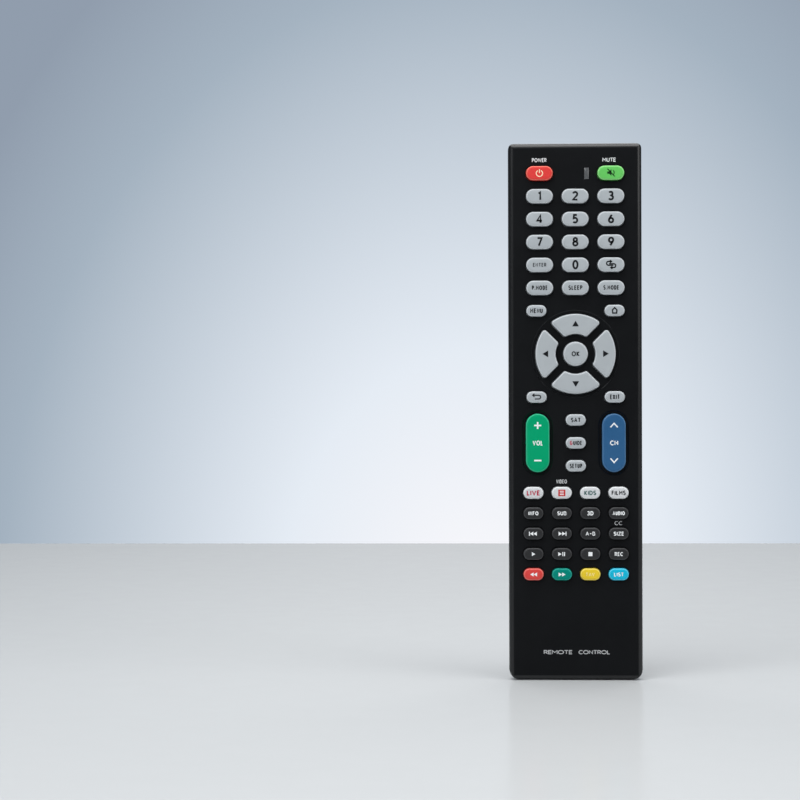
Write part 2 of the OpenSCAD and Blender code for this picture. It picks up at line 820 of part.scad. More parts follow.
// A pan-head screw with a cross recess, driven from the bay into its post.
module screw() {
    cross_t = head_h / 2;
    tip = plate_t + fit_gap - bay_d;
    difference() {
        rotate_extrude() polygon([
            [0, tip], [screw_r, tip + screw_r], [screw_r, 0],
            [head_r, 0], [head_r, cross_t], [head_r - cross_t / 2, head_h], [0, head_h],
        ]);
        for (turn = [0, 90]) {
            rotate(turn) translate([-head_r / 2, -cross_w / 2, cross_t]) cube([head_r, cross_w, head_h]);
        }
    }
}

module screws() {
    color(metal) for (i = [0, 1]) {
        translate([0, front_y + bay_d, bay_z0 + screw_start + i * screw_pitch]) rotate([-90, 0, 0]) screw();
    }
}

front_shell();
rear_shell();
battery_cover();
infrared_window();
keypad_mat();
circuit_board();
batteries();
battery_contacts();
screws();
for (key = KEYS) {
    push_key(key);
}
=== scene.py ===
# %% [markdown]
# # A universal remote control
#
# The remote stands on its lower end, with its keys facing the camera. Its solid parts are already
# made, packed and jointed, so this lesson only dresses them: it gives every part a finish, models
# the key caps again with softer edges, and prints the legends on them.
# The parts come in as a fixed frame. Nothing in that frame is moved, so each new piece is worked
# out from the boxes of the parts that it sits on.

# %% Load the frame
import math

import bpy
import numpy as np
from mathutils import Matrix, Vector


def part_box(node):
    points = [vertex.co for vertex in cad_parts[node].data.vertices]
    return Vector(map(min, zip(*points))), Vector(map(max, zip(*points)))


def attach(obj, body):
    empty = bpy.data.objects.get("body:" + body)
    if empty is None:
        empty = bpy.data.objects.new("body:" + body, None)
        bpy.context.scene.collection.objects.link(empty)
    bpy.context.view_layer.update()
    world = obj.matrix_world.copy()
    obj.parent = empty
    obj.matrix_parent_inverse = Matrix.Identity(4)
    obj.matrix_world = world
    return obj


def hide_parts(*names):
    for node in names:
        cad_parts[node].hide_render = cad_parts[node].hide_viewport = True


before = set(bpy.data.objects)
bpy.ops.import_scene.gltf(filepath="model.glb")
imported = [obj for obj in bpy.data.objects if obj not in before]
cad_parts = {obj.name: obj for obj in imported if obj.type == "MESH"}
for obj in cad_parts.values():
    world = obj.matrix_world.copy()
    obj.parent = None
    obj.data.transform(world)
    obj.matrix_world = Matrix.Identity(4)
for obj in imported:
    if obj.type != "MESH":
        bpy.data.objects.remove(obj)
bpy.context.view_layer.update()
MM = 0.001
FACE_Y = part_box("front_shell")[0].y / MM
KEY_RISE = FACE_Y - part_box("ok_key")[0].y / MM
print(len(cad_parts), "solid parts")
print("the face lies at y", round(FACE_Y, 2), "mm and the keys rise", round(KEY_RISE, 2), "mm")

# %% [markdown]
# ## The camera
#
# The photograph was taken from the height of the remote's middle, with a long lens and a level
# camera, a little to the left of the remote. The place was found by fitting the key centres, so
# the camera is set from three directions: right, up and backwards.

# %% Place the camera
CAMERA_PLACE = (-38.54 * MM, -761.57 * MM, 104.28 * MM)
CAMERA_YAW = math.radians(2.025)
CAMERA_ROLL = math.radians(-0.161)
PHOTO_FOCUS_PX = 2025
PHOTO_WIDTH_PX = 800
SENSOR_WIDTH = 36.0
NEAREST_SEEN = 0.01


def placed(name, data):
    """A new object in the scene."""
    thing = bpy.data.objects.new(name, data)
    bpy.context.scene.collection.objects.link(thing)
    return thing


def pose(right, up, back, place):
    """The matrix whose columns are three directions and a place."""
    matrix = np.eye(4)
    matrix[:3] = np.stack([right, up, back, np.array(place)], axis=1)
    return Matrix(matrix.tolist())


def camera_pose(place, yaw, roll):
    """A level frame, turned by the yaw, then rolled."""
    forward = np.array([-math.sin(yaw), math.cos(yaw), 0.0])
    level_right = np.array([math.cos(yaw), math.sin(yaw), 0.0])
    level_up = np.array([0.0, 0.0, 1.0])
    right = math.cos(roll) * level_right + math.sin(roll) * level_up
    up = math.cos(roll) * level_up - math.sin(roll) * level_right
    return pose(right, up, -forward, place)


camera = placed("camera", bpy.data.cameras.new("camera"))
camera.data.sensor_width = SENSOR_WIDTH
camera.data.lens = SENSOR_WIDTH * PHOTO_FOCUS_PX / PHOTO_WIDTH_PX
camera.data.clip_start = NEAREST_SEEN
camera.matrix_world = camera_pose(CAMERA_PLACE, CAMERA_YAW, CAMERA_ROLL)
bpy.context.scene.camera = camera
bpy.context.scene.view_settings.view_transform = "Standard"
print("lens", round(camera.data.lens, 1), "mm at", [round(v / MM) for v in CAMERA_PLACE], "mm")

# %% [markdown]
# ## Surfaces from grids
#
# Every new piece here is a grid of points whose columns run round a closed outline. The rows climb
# from the back of a key to its top, or follow a pen stroke. One helper turns such a grid into
# groups of faces, each group an array whose rows are faces with the same number of corners. Another
# makes the piece and lets it ride on the body that carries it.


# %% Turn grids into pieces
def skin(grid, looped=False):
    """Quads between neighbouring rows and columns, which wrap round; open rows end in a flat face."""
    rows, columns = grid.shape[:2]
    here = np.arange(rows * columns).reshape(rows, columns)
    above = np.roll(here, -1, axis=0)
    last = rows if looped else rows - 1
    quads = np.stack([here, np.roll(here, -1, 1), np.roll(above, -1, 1), above], axis=-1)[:last]
    ends = [] if looped else [np.stack([here[0, ::-1], here[-1]])]
    return grid.reshape(-1, 3), [quads.reshape(-1, 4), *ends]


def joined(parts):
    """Points and face groups of several parts as one, with indices moved past the parts before."""
    points = np.concatenate([part_points for part_points, _ in parts])
    starts = np.cumsum([0] + [len(part_points) for part_points, _ in parts])
    return points, [group + start for (_, groups), start in zip(parts, starts) for group in groups]


def enclosed_volume(points, groups):
    """Sixth of the summed triple products over a fan of each face, positive when faces point outwards."""
    fans = [np.stack(np.broadcast_arrays(group[:, :1], group[:, 1:-1], group[:, 2:]), axis=-1)
            for group in groups]
    triangles = np.concatenate([fan.reshape(-1, 3) for fan in fans])
    a, b, c = (points[triangles[:, k]] for k in range(3))
    return np.einsum("ij,ij->i", a, np.cross(b, c)).sum() / 6


def outward(points, groups):
    """The same faces, turned round when they enclose a negative volume."""
    if enclosed_volume(points - points.mean(axis=0), groups) > 0:
        return points, groups
    return points, [group[:, ::-1] for group in groups]


def make_piece(name, points, groups, material, body, crease=35.0):
    """A mesh object at the origin, shaded smooth except across creases, that rides on a body."""
    faces = [face for group in groups for face in group.tolist()]
    mesh = bpy.data.meshes.new(name)
    mesh.from_pydata((points * MM).tolist(), [], faces)
    mesh.polygons.foreach_set("use_smooth", np.ones(len(faces), bool))
    mesh.set_sharp_from_angle(angle=math.radians(crease))
    mesh.materials.append(material)
    piece = placed(name, mesh)
    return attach(piece, body)


print("grid helpers ready")

# %% [markdown]
# ## Shared finishes
#
# Moulded plastic is never one flat colour. The mould leaves a fine grain, and hands leave soft patches
# that shine more. Raised edges of the keys get a painted highlight, a lighter colour where they would
# catch the light. These effects appear on many parts, so each is a node group that is built once and
# placed in every material with its own values.

# %% Set and join nodes
FLOAT, COLOUR = "NodeSocketFloat", "NodeSocketColor"


def feed(node, inputs):
    """Sets inputs of a node, by name or number, to values or to outputs of other nodes."""
    for label, value in inputs.items():
        if isinstance(value, bpy.types.NodeSocket):
            node.id_data.links.new(value, node.inputs[label])
        else:
            node.inputs[label].default_value = value


def new_node(nodes, kind, *ordered, **named):
    """A shader node: values feed inputs in order or by a capital name; small names are settings."""
    node = nodes.new("ShaderNode" + kind)
    for label in filter(str.islower, named):
        setattr(node, label, named[label])
    feed(node, dict(enumerate(ordered)))
    feed(node, {label.replace("_", " "): named[label] for label in named if not label.islower()})
    return node


def new_group(name, inputs, outputs):
    """A shader group, what its inputs give and its last node, which takes the results."""
    group = bpy.data.node_groups.new(name, "ShaderNodeTree")
    for label, kind, value in inputs:
        group.interface.new_socket(label, in_out="INPUT", socket_type=kind).default_value = value
    for label, kind in outputs:
        group.interface.new_socket(label, in_out="OUTPUT", socket_type=kind)
    return group, group.nodes.new("NodeGroupInput").outputs, group.nodes.new("NodeGroupOutput")


print("node helpers ready")


# %% Build the node groups
def moulded_grain_group():
    """Fine noise as the height of the grain, and wide noise that spreads roughness between two values."""
    group, given, result = new_group(
        "moulded_grain",
        [("Grain Scale", FLOAT, 5000.0), ("Patch Scale", FLOAT, 70.0),
         ("Roughness Low", FLOAT, 0.35), ("Roughness High", FLOAT, 0.5)],
        [("Height", FLOAT), ("Roughness", FLOAT), ("Patch", FLOAT)])
    nodes = group.nodes
    place = new_node(nodes, "TexCoord").outputs["Object"]
    grain = new_node(nodes, "TexNoise", place, Scale=given["Grain Scale"], Detail=3.0).outputs["Fac"]
    patch = new_node(nodes, "TexNoise", place, Scale=given["Patch Scale"], Detail=4.0,
                     Roughness=0.6).outputs["Fac"]
    spread = new_node(nodes, "MapRange", patch, From_Min=0.3, From_Max=0.7,
                      To_Min=given["Roughness Low"], To_Max=given["Roughness High"])
    feed(result, {"Height": grain, "Roughness": spread.outputs["Result"], "Patch": patch})
    return group


def polished_rim_group():
    """Colour mixed towards a lighter one by the rim mask as a painted highlight, then mottled a little by
    the patches.
    """
    group, given, result = new_group(
        "painted_rim_highlight",
        [("Color", COLOUR, (0.5, 0.5, 0.5, 1)), ("Rim Color", COLOUR, (0.7, 0.7, 0.7, 1)),
         ("Rim", FLOAT, 0.0), ("Patch", FLOAT, 0.5), ("Mottle", FLOAT, 0.06)],
        [("Color", COLOUR)])
    nodes = group.nodes
    lift = new_node(nodes, "Mix", data_type="RGBA", Factor=given["Rim"], A=given["Color"],
                    B=given["Rim Color"])
    centre = new_node(nodes, "Math", given["Patch"], 0.5, operation="SUBTRACT").outputs["Value"]
    gain = new_node(nodes, "Math", centre, given["Mottle"], 1.0, operation="MULTIPLY_ADD")
    tone = new_node(nodes, "VectorMath", lift.outputs["Result"], operation="SCALE",
                    Scale=gain.outputs["Value"])
    feed(result, {"Color": tone.outputs["Vector"]})
    return group


MOULDED_GRAIN = moulded_grain_group()
PAINTED_RIM_HIGHLIGHT = polished_rim_group()
print("node groups:", MOULDED_GRAIN.name, PAINTED_RIM_HIGHLIGHT.name)

# %% Make a moulded finish
COAT_ROUGH = 0.15


def new_material(name):
    """A material with its nodes and its surface shader."""
    material = bpy.data.materials.new(name)
    material.use_nodes = True
    nodes = material.node_tree.nodes
    return material, nodes, nodes["Principled BSDF"]


def moulded_finish(name, colour, rim_highlight_colour=None, rough=(0.35, 0.5), grain=5000.0, grain_depth=0.004,
                   mottle=0.12, specular=0.5, coat=0.0):
    """Principled plastic: colour with any painted rim highlight from the rim group, roughness and bump from
    the grain group.
    """
    material, nodes, surface = new_material(name)
    grained = new_node(nodes, "Group", node_tree=MOULDED_GRAIN, Grain_Scale=grain,
                       Roughness_Low=rough[0], Roughness_High=rough[1]).outputs
    rimmed = new_node(nodes, "Group", node_tree=PAINTED_RIM_HIGHLIGHT, Color=(*colour, 1), Mottle=mottle,
                      Rim_Color=(*(rim_highlight_colour or colour), 1), Patch=grained["Patch"])
    # The rim mask sets where the lighter colour goes: a painted highlight on the rounded edge.
    if rim_highlight_colour:
        mask = new_node(nodes, "Attribute", attribute_name="rim")
        feed(rimmed, {"Rim": mask.outputs["Fac"]})
    bump = new_node(nodes, "Bump", Distance=grain_depth * MM, Strength=1.0, Height=grained["Height"])
    feed(surface, {"Base Color": rimmed.outputs["Color"], "Roughness": grained["Roughness"],
                   "Normal": bump.outputs["Normal"], "Specular IOR Level": specular,
                   "Coat Weight": coat, "Coat Roughness": COAT_ROUGH})
    return material


def dress(node, material):
    """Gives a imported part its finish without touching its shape."""
    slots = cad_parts[node].data.materials
    slots.clear()
    slots.append(material)


print("finish maker ready")

# %% [markdown]
# ## The case
#
# The two shells and the battery cover are black ABS. The face is matte, with a shallow grain that
# keeps it from mirroring the room, and its rim and the edges of its holes come out of the mould
# smooth. The face looks along -Y, so the Y part of the normal tells the rim from the face, and a
# thin clear coat lies where the two part. The back is moulded against a coarser mould so that it
# doesn't slip in the hand.

# %% Dress the case
COAT_STARTS, COAT_FULL = -0.995, -0.95


def face_finish(name, colour, face_specular, edge_coat, edge_rough):
    """Matte plastic with a smooth coat that grows where the normal leaves the face's direction."""
    material = moulded_finish(name, colour, rough=(0.46, 0.56), grain=4200.0, grain_depth=0.004,
                              mottle=0.5, specular=face_specular)
    nodes = material.node_tree.nodes
    normal = new_node(nodes, "TexCoord").outputs["Normal"]
    towards = new_node(nodes, "SeparateXYZ", normal).outputs["Y"]
    turned = new_node(nodes, "MapRange", towards, From_Min=COAT_STARTS, From_Max=COAT_FULL,
                      To_Max=edge_coat)
    feed(nodes["Principled BSDF"], {"Coat Weight": turned.outputs["Result"], "Coat Roughness": edge_rough})
    return material


CASE_BLACK = (0.0034, 0.0039, 0.0048)
dress("front_shell", face_finish("matte_black_face", CASE_BLACK, face_specular=0.11, edge_coat=0.75,
                                 edge_rough=0.26))
grip_black = moulded_finish("grained_black_back", CASE_BLACK, rough=(0.46, 0.58), grain=2600.0,
                            grain_depth=0.02, mottle=0.5, specular=0.42)
dress("rear_shell", grip_black)
dress("battery_cover", grip_black)
dress("infrared_window", moulded_finish("infrared_dark_red", (0.014, 0.0025, 0.0035), rough=(0.06, 0.12),
                                        grain_depth=0.0005, mottle=0.4, coat=0.6))
dress("keypad_mat", moulded_finish("grey_silicone_mat", (0.075, 0.077, 0.082), rough=(0.55, 0.7),
                                   mottle=0.25))
print("shells, cover, window and mat dressed")

# %% [markdown]
# ## Parts in the battery bay
#
# Behind the cover lie two cells, their nickel contacts and the case screws. A cell's printed
# jacket stops short of its bare steel ends, and that border is a height along the cell, so the
# jacket's material reads the height. The two cells lie opposite ways round, which the sign of X
# tells apart.

# %% Dress the contacts and screws
ROLLED_LENGTHWISE = (1.0, 1.0, 0.08)
LINE_SHADE = 0.82


def metal_finish(name, colour, rough, scratch_scale):
    """Metal whose roughness follows a stretched noise, like the fine lines that rolling leaves."""
    material, nodes, surface = new_material(name)
    place = new_node(nodes, "TexCoord").outputs["Object"]
    stretch = new_node(nodes, "Mapping", place, Scale=ROLLED_LENGTHWISE).outputs["Vector"]
    lines = new_node(nodes, "TexNoise", stretch, Scale=scratch_scale, Detail=3.0).outputs["Fac"]
    spread = new_node(nodes, "MapRange", lines, To_Min=rough[0], To_Max=rough[1])
    shaded = (*(LINE_SHADE * part for part in colour), 1)
    tint = new_node(nodes, "Mix", data_type="RGBA", Factor=lines, A=(*colour, 1), B=shaded)
    feed(surface, {"Base Color": tint.outputs["Result"], "Roughness": spread.outputs["Result"],
                   "Metallic": 1.0})
    return material


dress("battery_contacts", metal_finish("nickel_contact", (0.62, 0.60, 0.55), (0.18, 0.34), 900.0))
dress("screws", metal_finish("zinc_screw", (0.50, 0.50, 0.49), (0.28, 0.42), 1400.0))
print("contacts and screws dressed")

# %% Dress the cells
STEEL = (0.60, 0.60, 0.58)
JACKET_GREEN = (0.030, 0.085, 0.060)
JACKET_STRIPE = (0.62, 0.63, 0.60)
JACKET_PALE = (0.48, 0.50, 0.49)
JACKET_STARTS, JACKET_ENDS = 0.08, 0.915
CELL_BANDS = [(0.0, STEEL), (JACKET_STARTS, JACKET_GREEN), (0.66, JACKET_STRIPE), (0.69, JACKET_GREEN),
              (0.72, JACKET_PALE), (JACKET_ENDS, STEEL)]
CELL_BARE = [(0.0, (1, 1, 1)), (JACKET_STARTS, (0, 0, 0)), (JACKET_ENDS, (1, 1, 1))]


def colour_ramp(nodes, share, steps, between="LINEAR"):
    """The colour at a share of the way through steps, each a position and a colour, the first at zero."""
    ramp = new_node(nodes, "ValToRGB", share)
    ramp.color_ramp.interpolation = between
    stops = ramp.color_ramp.elements
    stops.remove(stops[1])
    stops[0].color = (*steps[0][1], 1)
    for position, colour in steps[1:]:
        stops.new(position).color = (*colour, 1)
    return ramp.outputs["Color"]


def cell_finish(low_z, high_z):
    """Share of the way from a cell's flat end to its button: it picks bare steel or a band of the jacket."""
    material, nodes, surface = new_material("printed_cell_jacket")
    place = new_node(nodes, "TexCoord").outputs["Object"]
    axes = new_node(nodes, "SeparateXYZ", place).outputs
    along = new_node(nodes, "MapRange", axes["Z"], From_Min=low_z, From_Max=high_z).outputs["Result"]
    side = new_node(nodes, "Math", axes["X"], 0.0, operation="GREATER_THAN").outputs["Value"]
    turned = new_node(nodes, "Math", 1.0, along, operation="SUBTRACT").outputs["Value"]
    share = new_node(nodes, "Mix", Factor=side, A=along, B=turned).outputs["Result"]
    grain = new_node(nodes, "Group", node_tree=MOULDED_GRAIN, Patch_Scale=160.0,
                     Roughness_Low=0.2, Roughness_High=0.36)
    feed(surface, {"Base Color": colour_ramp(nodes, share, CELL_BANDS, between="CONSTANT"),
                   "Metallic": colour_ramp(nodes, share, CELL_BARE, between="CONSTANT"),
                   "Roughness": grain.outputs["Roughness"]})
    return material


cell_low, cell_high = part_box("batteries")
dress("batteries", cell_finish(cell_low.z, cell_high.z))
print("cells run from z", round(cell_low.z / MM, 1), "to", round(cell_high.z / MM, 1), "mm")

# %% [markdown]
# ## The circuit board
#
# The board is one part with its soldered pieces, so its material tells them apart by place. Depth
# behind the face parts the light pipe of the indicator from the green board and from what is
# soldered on behind. A fine brick pattern gives the copper tracks under the green lacquer.

# %% Dress the circuit board
LACQUER = ((0.018, 0.085, 0.035, 1), (0.022, 0.100, 0.040, 1))
TRACK = (0.060, 0.180, 0.060, 1)
CHIP_BLACK = (0.035, 0.036, 0.042, 1)
PIPE_GREY = (0.16, 0.165, 0.17, 1)
BOARD_DEPTHS = (3.6, 4.88)


def board_finish(board_front, board_back):
    """Depth picks the clear pipe, the lacquered board or the dark components; bricks draw the tracks."""
    material, nodes, surface = new_material("lacquered_board")
    place = new_node(nodes, "TexCoord").outputs["Object"]
    turned = new_node(nodes, "Mapping", place, Rotation=(math.radians(90), 0, 0)).outputs["Vector"]
    depth = new_node(nodes, "SeparateXYZ", place).outputs["Y"]
    tracks = new_node(nodes, "TexBrick", turned, Scale=240.0, Mortar_Size=0.03, Color1=LACQUER[0],
                      Color2=LACQUER[1], Mortar=TRACK)
    behind = new_node(nodes, "Math", depth, board_back, operation="GREATER_THAN").outputs["Value"]
    before = new_node(nodes, "Math", depth, board_front, operation="LESS_THAN").outputs["Value"]
    soldered = new_node(nodes, "Mix", data_type="RGBA", Factor=behind, A=tracks.outputs["Color"],
                        B=CHIP_BLACK)
    piped = new_node(nodes, "Mix", data_type="RGBA", Factor=before, A=soldered.outputs["Result"],
                     B=PIPE_GREY)
    grain = new_node(nodes, "Group", node_tree=MOULDED_GRAIN, Roughness_Low=0.25, Roughness_High=0.45)
    feed(surface, {"Base Color": piped.outputs["Result"], "Roughness": grain.outputs["Roughness"]})
    return material


dress("circuit_board", board_finish(*((FACE_Y + depth) * MM for depth in BOARD_DEPTHS)))
print("board dressed between depths", BOARD_DEPTHS)

# %% [markdown]
# ## Key caps
#
# A key is a soft pill: straight sides, a rounded edge and a top that is flat only in its middle.
# A bevelled box would do for one key, but here one rule makes them all. The outline of a pill is a
# straight core with a circle carried round it, so growing or shrinking the outline only changes
# that circle's radius. A key is then a stack of such rings, each with its own offset and height.

# %% Work out the rings of a key
FLANGE = 0.7
FLANGE_DEPTHS = (2.15, 1.65)
STEM_IN = 0.8
STEM_DEPTH = 2.75
EDGE_ROUND = 0.55
EDGE_LEAN = math.radians(12)
EDGE_STEPS = 9
SHOULDER_WIDTH = 0.764
SHOULDER_STEPS = 6
RADIUS_KEPT = 0.05
END_STEPS = 25


def cap_rings(flange, radius):
    """Offset, height and rim mask of each ring, from the stem to the flat top.

    The edge is an arc from upright to nearly level. The shoulder is a parabola that starts with the
    arc's last slope and ends level, so the top has no crease. It stops before the offset has used up
    the radius that is carried round the core, because the ring would cross itself there.
    """
    back, front = FLANGE_DEPTHS
    below = np.array([[-STEM_IN, -STEM_DEPTH], [-STEM_IN, -back], [flange, -back], [flange, -front],
                      [0, -front]])
    edge_in = EDGE_ROUND * (1 - math.sin(EDGE_LEAN))
    width = min(SHOULDER_WIDTH, (1 - RADIUS_KEPT) * radius - edge_in)
    drop = math.tan(EDGE_LEAN) * width / 2
    sweep = np.linspace(0, math.pi / 2 - EDGE_LEAN, EDGE_STEPS)
    edge_centre = KEY_RISE - drop - EDGE_ROUND * math.cos(EDGE_LEAN)
    edge = np.stack([EDGE_ROUND * (np.cos(sweep) - 1), edge_centre + EDGE_ROUND * np.sin(sweep)], axis=1)
    along = np.linspace(0, 1, SHOULDER_STEPS + 1)[1:]
    shoulder = np.stack([-edge_in - width * along, KEY_RISE - drop * (1 - along) ** 2], axis=1)
    # The rim mask is strongest halfway round the edge, where the painted highlight lies.
    rim = np.concatenate([np.zeros(len(below)), np.sin(2 * sweep) ** 2, 0 * along])
    return np.concatenate([below, edge, shoulder]), rim


rings, _ = cap_rings(FLANGE, radius=2.0)
print(len(rings), "rings; the flat top starts", round(-rings[-1, 0], 2), "mm inside the outline")


# %% Carry the rings round a pill
def pill_outline(length, width, upright=False):
    """Core points and outward normals of a pill: half circles round both ends of a straight core."""
    half = np.linspace(-math.pi / 2, math.pi / 2, END_STEPS)
    angle = np.concatenate([half, half + math.pi])
    normal = np.stack([np.cos(angle), np.sin(angle)], axis=1)
    core = np.zeros_like(normal)
    core[:, 0] = np.repeat([0.5, -0.5], len(half)) * (length - width)
    if upright:
        core, normal = core[:, ::-1] * [-1, 1], normal[:, ::-1] * [-1, 1]
    return core, normal, width / 2


def cap_surface(outline, place, flange=FLANGE):
    """Grid of ring points: core plus normal times the grown radius, at each ring's height."""
    core, normal, radius = outline
    rings, rim = cap_rings(flange, radius)
    flat = core[None] + (radius + rings[:, :1, None]) * normal[None]
    depth = np.broadcast_to(FACE_Y - rings[:, 1:], flat.shape[:2])
    grid = np.stack([place[0] + flat[..., 0], depth, place[1] + flat[..., 1]], axis=-1)
    return grid, np.repeat(rim, len(core))


def middle(node):
    """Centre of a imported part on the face, as X and height in millimetres."""
    low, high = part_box(node)
    return np.array([low.x + high.x, low.z + high.z]) / 2 / MM


print("the OK key lies at", [round(float(v), 1) for v in middle("ok_key")], "mm")

# %% [markdown]
# The four arrow keys are parts of a ring, cut beside the diagonals, with rounded corners. Their
# outline follows the same idea: a sharp-cornered core, with a circle of the corner's radius carried
# round it. Only the core is new, two arcs and two straight sides.

# %% Work out the arrow outline
PAD_OUTER = 14.8
PAD_INNER = 7.4
PAD_GAP = 3.2
PAD_CORNER = 1.0
OUTER_STEPS = 33
INNER_STEPS = 17
CORNER_STEPS = 9


def spin(turn):
    """The matrix that turns rows of points anticlockwise."""
    return np.array([[math.cos(turn), math.sin(turn)], [-math.sin(turn), math.cos(turn)]])


def polar(radius, angle):
    """Points at an angle and radius from the middle."""
    return radius * np.stack([np.cos(angle), np.sin(angle)], axis=1)


def arrow_outline(turn):
    """Core and normals of an arrow key: side, corner, outer arc, corner, side, corner, inner arc, corner.

    The core's sides lie half a gap and a corner radius from the diagonals; they meet its two arcs
    where the square of the radius is that distance squared plus the run along the diagonal squared.
    At a corner the point stays and the normal turns.
    """
    reach = PAD_GAP / 2 + PAD_CORNER
    outer, inner = PAD_OUTER - PAD_CORNER, PAD_INNER + PAD_CORNER
    outer_angle = math.pi / 4 + math.asin(reach / outer)
    inner_angle = math.pi / 4 + math.asin(reach / inner)
    right, left = -math.pi / 4, 5 * math.pi / 4
    outer_sweep = np.linspace(outer_angle, math.pi - outer_angle, OUTER_STEPS)
    inner_sweep = np.linspace(math.pi - inner_angle, inner_angle, INNER_STEPS)
    fan = np.linspace(0, 1, CORNER_STEPS)[1:-1]
    core = np.concatenate([
        polar(inner, np.array([inner_angle])), polar(outer, np.full(len(fan) + 1, outer_angle)),
        polar(outer, outer_sweep), polar(outer, np.full(len(fan) + 1, math.pi - outer_angle)),
        polar(inner, np.full(len(fan) + 1, math.pi - inner_angle)), polar(inner, inner_sweep),
        polar(inner, np.full(len(fan), inner_angle))])
    angle = np.concatenate([
        [right, right], right + fan * (outer_angle - right), outer_sweep,
        math.pi - outer_angle + fan * (left - math.pi + outer_angle), [left, left],
        left + fan * (2 * math.pi - inner_angle - left), inner_sweep + math.pi,
        math.pi + inner_angle + fan * (right + math.pi - inner_angle)])
    return core @ spin(turn), polar(1, angle) @ spin(turn), PAD_CORNER


up_core, up_normal, _ = arrow_outline(0)
print("arrow outline has", len(up_core), "points and", len(up_normal), "normals")

# %% [markdown]
# ## Key finishes
#
# Most keys are grey rubber with a soft skin, the row under the rockers is white, the play keys are
# dark, and the rest are coloured. The two greens and the light blue are deep colours with a duller
# skin. Each key carries a mask that is strongest in the middle of its rounded edge, and a lighter
# colour is painted there as a highlight.

# %% Make the key finishes
# The colour of a key's top and the lighter colour painted on its rounded edge as a highlight.
KEY_COLOURS = {
    "key_grey": ((0.369, 0.397, 0.416), (0.54, 0.57, 0.59)),
    "key_white": ((0.570, 0.580, 0.595), (0.72, 0.74, 0.75)),
    "key_dark": ((0.0165, 0.0168, 0.0180), (0.050, 0.051, 0.054)),
    "key_power": ((0.660, 0.040, 0.035), (0.80, 0.17, 0.12)),
    "key_mute": ((0.115, 0.500, 0.100), (0.28, 0.68, 0.24)),
    "rocker_green": ((0.0, 0.305, 0.133), (0.05, 0.46, 0.26)),
    "rocker_blue": ((0.016, 0.088, 0.210), (0.07, 0.17, 0.32)),
    "key_red": ((0.610, 0.048, 0.042), (0.78, 0.18, 0.15)),
    "key_green": ((0.0, 0.210, 0.165), (0.03, 0.35, 0.28)),
    "key_yellow": ((0.710, 0.510, 0.018), (0.82, 0.66, 0.14)),
    "key_blue": ((0.008, 0.430, 0.620), (0.12, 0.56, 0.74)),
}
KEY_GLOSS = 0.3
DULL_GLOSS = 0.08
DULL_SLOTS = ["rocker_green", "key_green", "key_blue"]
KEY_FINISH = {slot: moulded_finish(slot, colour, rim, rough=(0.36, 0.5), grain=6500.0, grain_depth=0.003,
                                   specular=DULL_GLOSS if slot in DULL_SLOTS else KEY_GLOSS)
              for slot, (colour, rim) in KEY_COLOURS.items()}
print(len(KEY_FINISH), "key finishes")

# %% [markdown]
# Each key takes its place and size from its solid part, and then stands for that part. The rockers
# also keep the two pins that they tilt on, which are hidden under the face.

# %% Shape the keys
ROCKER_PIN = 0.9
ROCKER_PIN_RADIUS = 0.6
ROCKER_PIN_DEPTH = 2.25
ROCKER_PIN_SIDES = 16
OWN_FINISH = {"power_key": "key_power", "mute_key": "key_mute", "volume_rocker": "rocker_green",
              "channel_rocker": "rocker_blue", "red_key": "key_red", "green_key": "key_green",
              "yellow_key": "key_yellow", "blue_key": "key_blue"}
WHITE_KEYS = ["app_1_key", "app_2_key", "app_3_key", "app_4_key"]
DARK_KEYS = ["info_key", "subtitle_key", "screen_key", "audio_key", "previous_key", "next_key", "repeat_key",
             "format_key", "play_key", "pause_key", "stop_key", "record_key"]
OWN_FINISH.update(dict.fromkeys(WHITE_KEYS, "key_white"))
OWN_FINISH.update(dict.fromkeys(DARK_KEYS, "key_dark"))
ARROW_TURNS = {"up_key": 0, "left_key": math.pi / 2, "down_key": math.pi, "right_key": -math.pi / 2}
ROCKERS = ["volume_rocker", "channel_rocker"]
KEYS = sorted(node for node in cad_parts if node.endswith("_key") or node in ROCKERS)


def rocker_pins(place, half_width):
    """A bar across the rocker: a circle carried along X, under the face."""
    angle = np.linspace(0, 2 * math.pi, ROCKER_PIN_SIDES, endpoint=False)
    ends = np.array([-half_width, half_width])
    depth = FACE_Y + ROCKER_PIN_DEPTH + ROCKER_PIN_RADIUS * np.cos(angle)
    height = place[1] + ROCKER_PIN_RADIUS * np.sin(angle)
    ring = np.broadcast_to(np.stack([depth, height], axis=1), (2, ROCKER_PIN_SIDES, 2))
    across = np.broadcast_to((place[0] + ends)[:, None, None], (2, ROCKER_PIN_SIDES, 1))
    return outward(*skin(np.concatenate([across, ring], axis=2)))


def key_parts(key):
    """Points, face groups and rim mask of one key, from the box of its solid part."""
    low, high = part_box(key)
    width, height = (high.x - low.x) / MM, (high.z - low.z) / MM
    if key in ARROW_TURNS:
        grid, rim = cap_surface(arrow_outline(ARROW_TURNS[key]), middle("ok_key"))
    elif key in ROCKERS:
        outline = pill_outline(height, width - 2 * ROCKER_PIN, upright=True)
        grid, rim = cap_surface(outline, middle(key), flange=0.0)
    else:
        grid, rim = cap_surface(pill_outline(width - 2 * FLANGE, height - 2 * FLANGE), middle(key))
    parts = [outward(*skin(grid))]
    if key in ROCKERS:
        parts.append(rocker_pins(middle(key), width / 2))
        rim = np.concatenate([rim, np.zeros(len(parts[1][0]))])
    return *joined(parts), rim


print(len(KEYS), "keys to make")

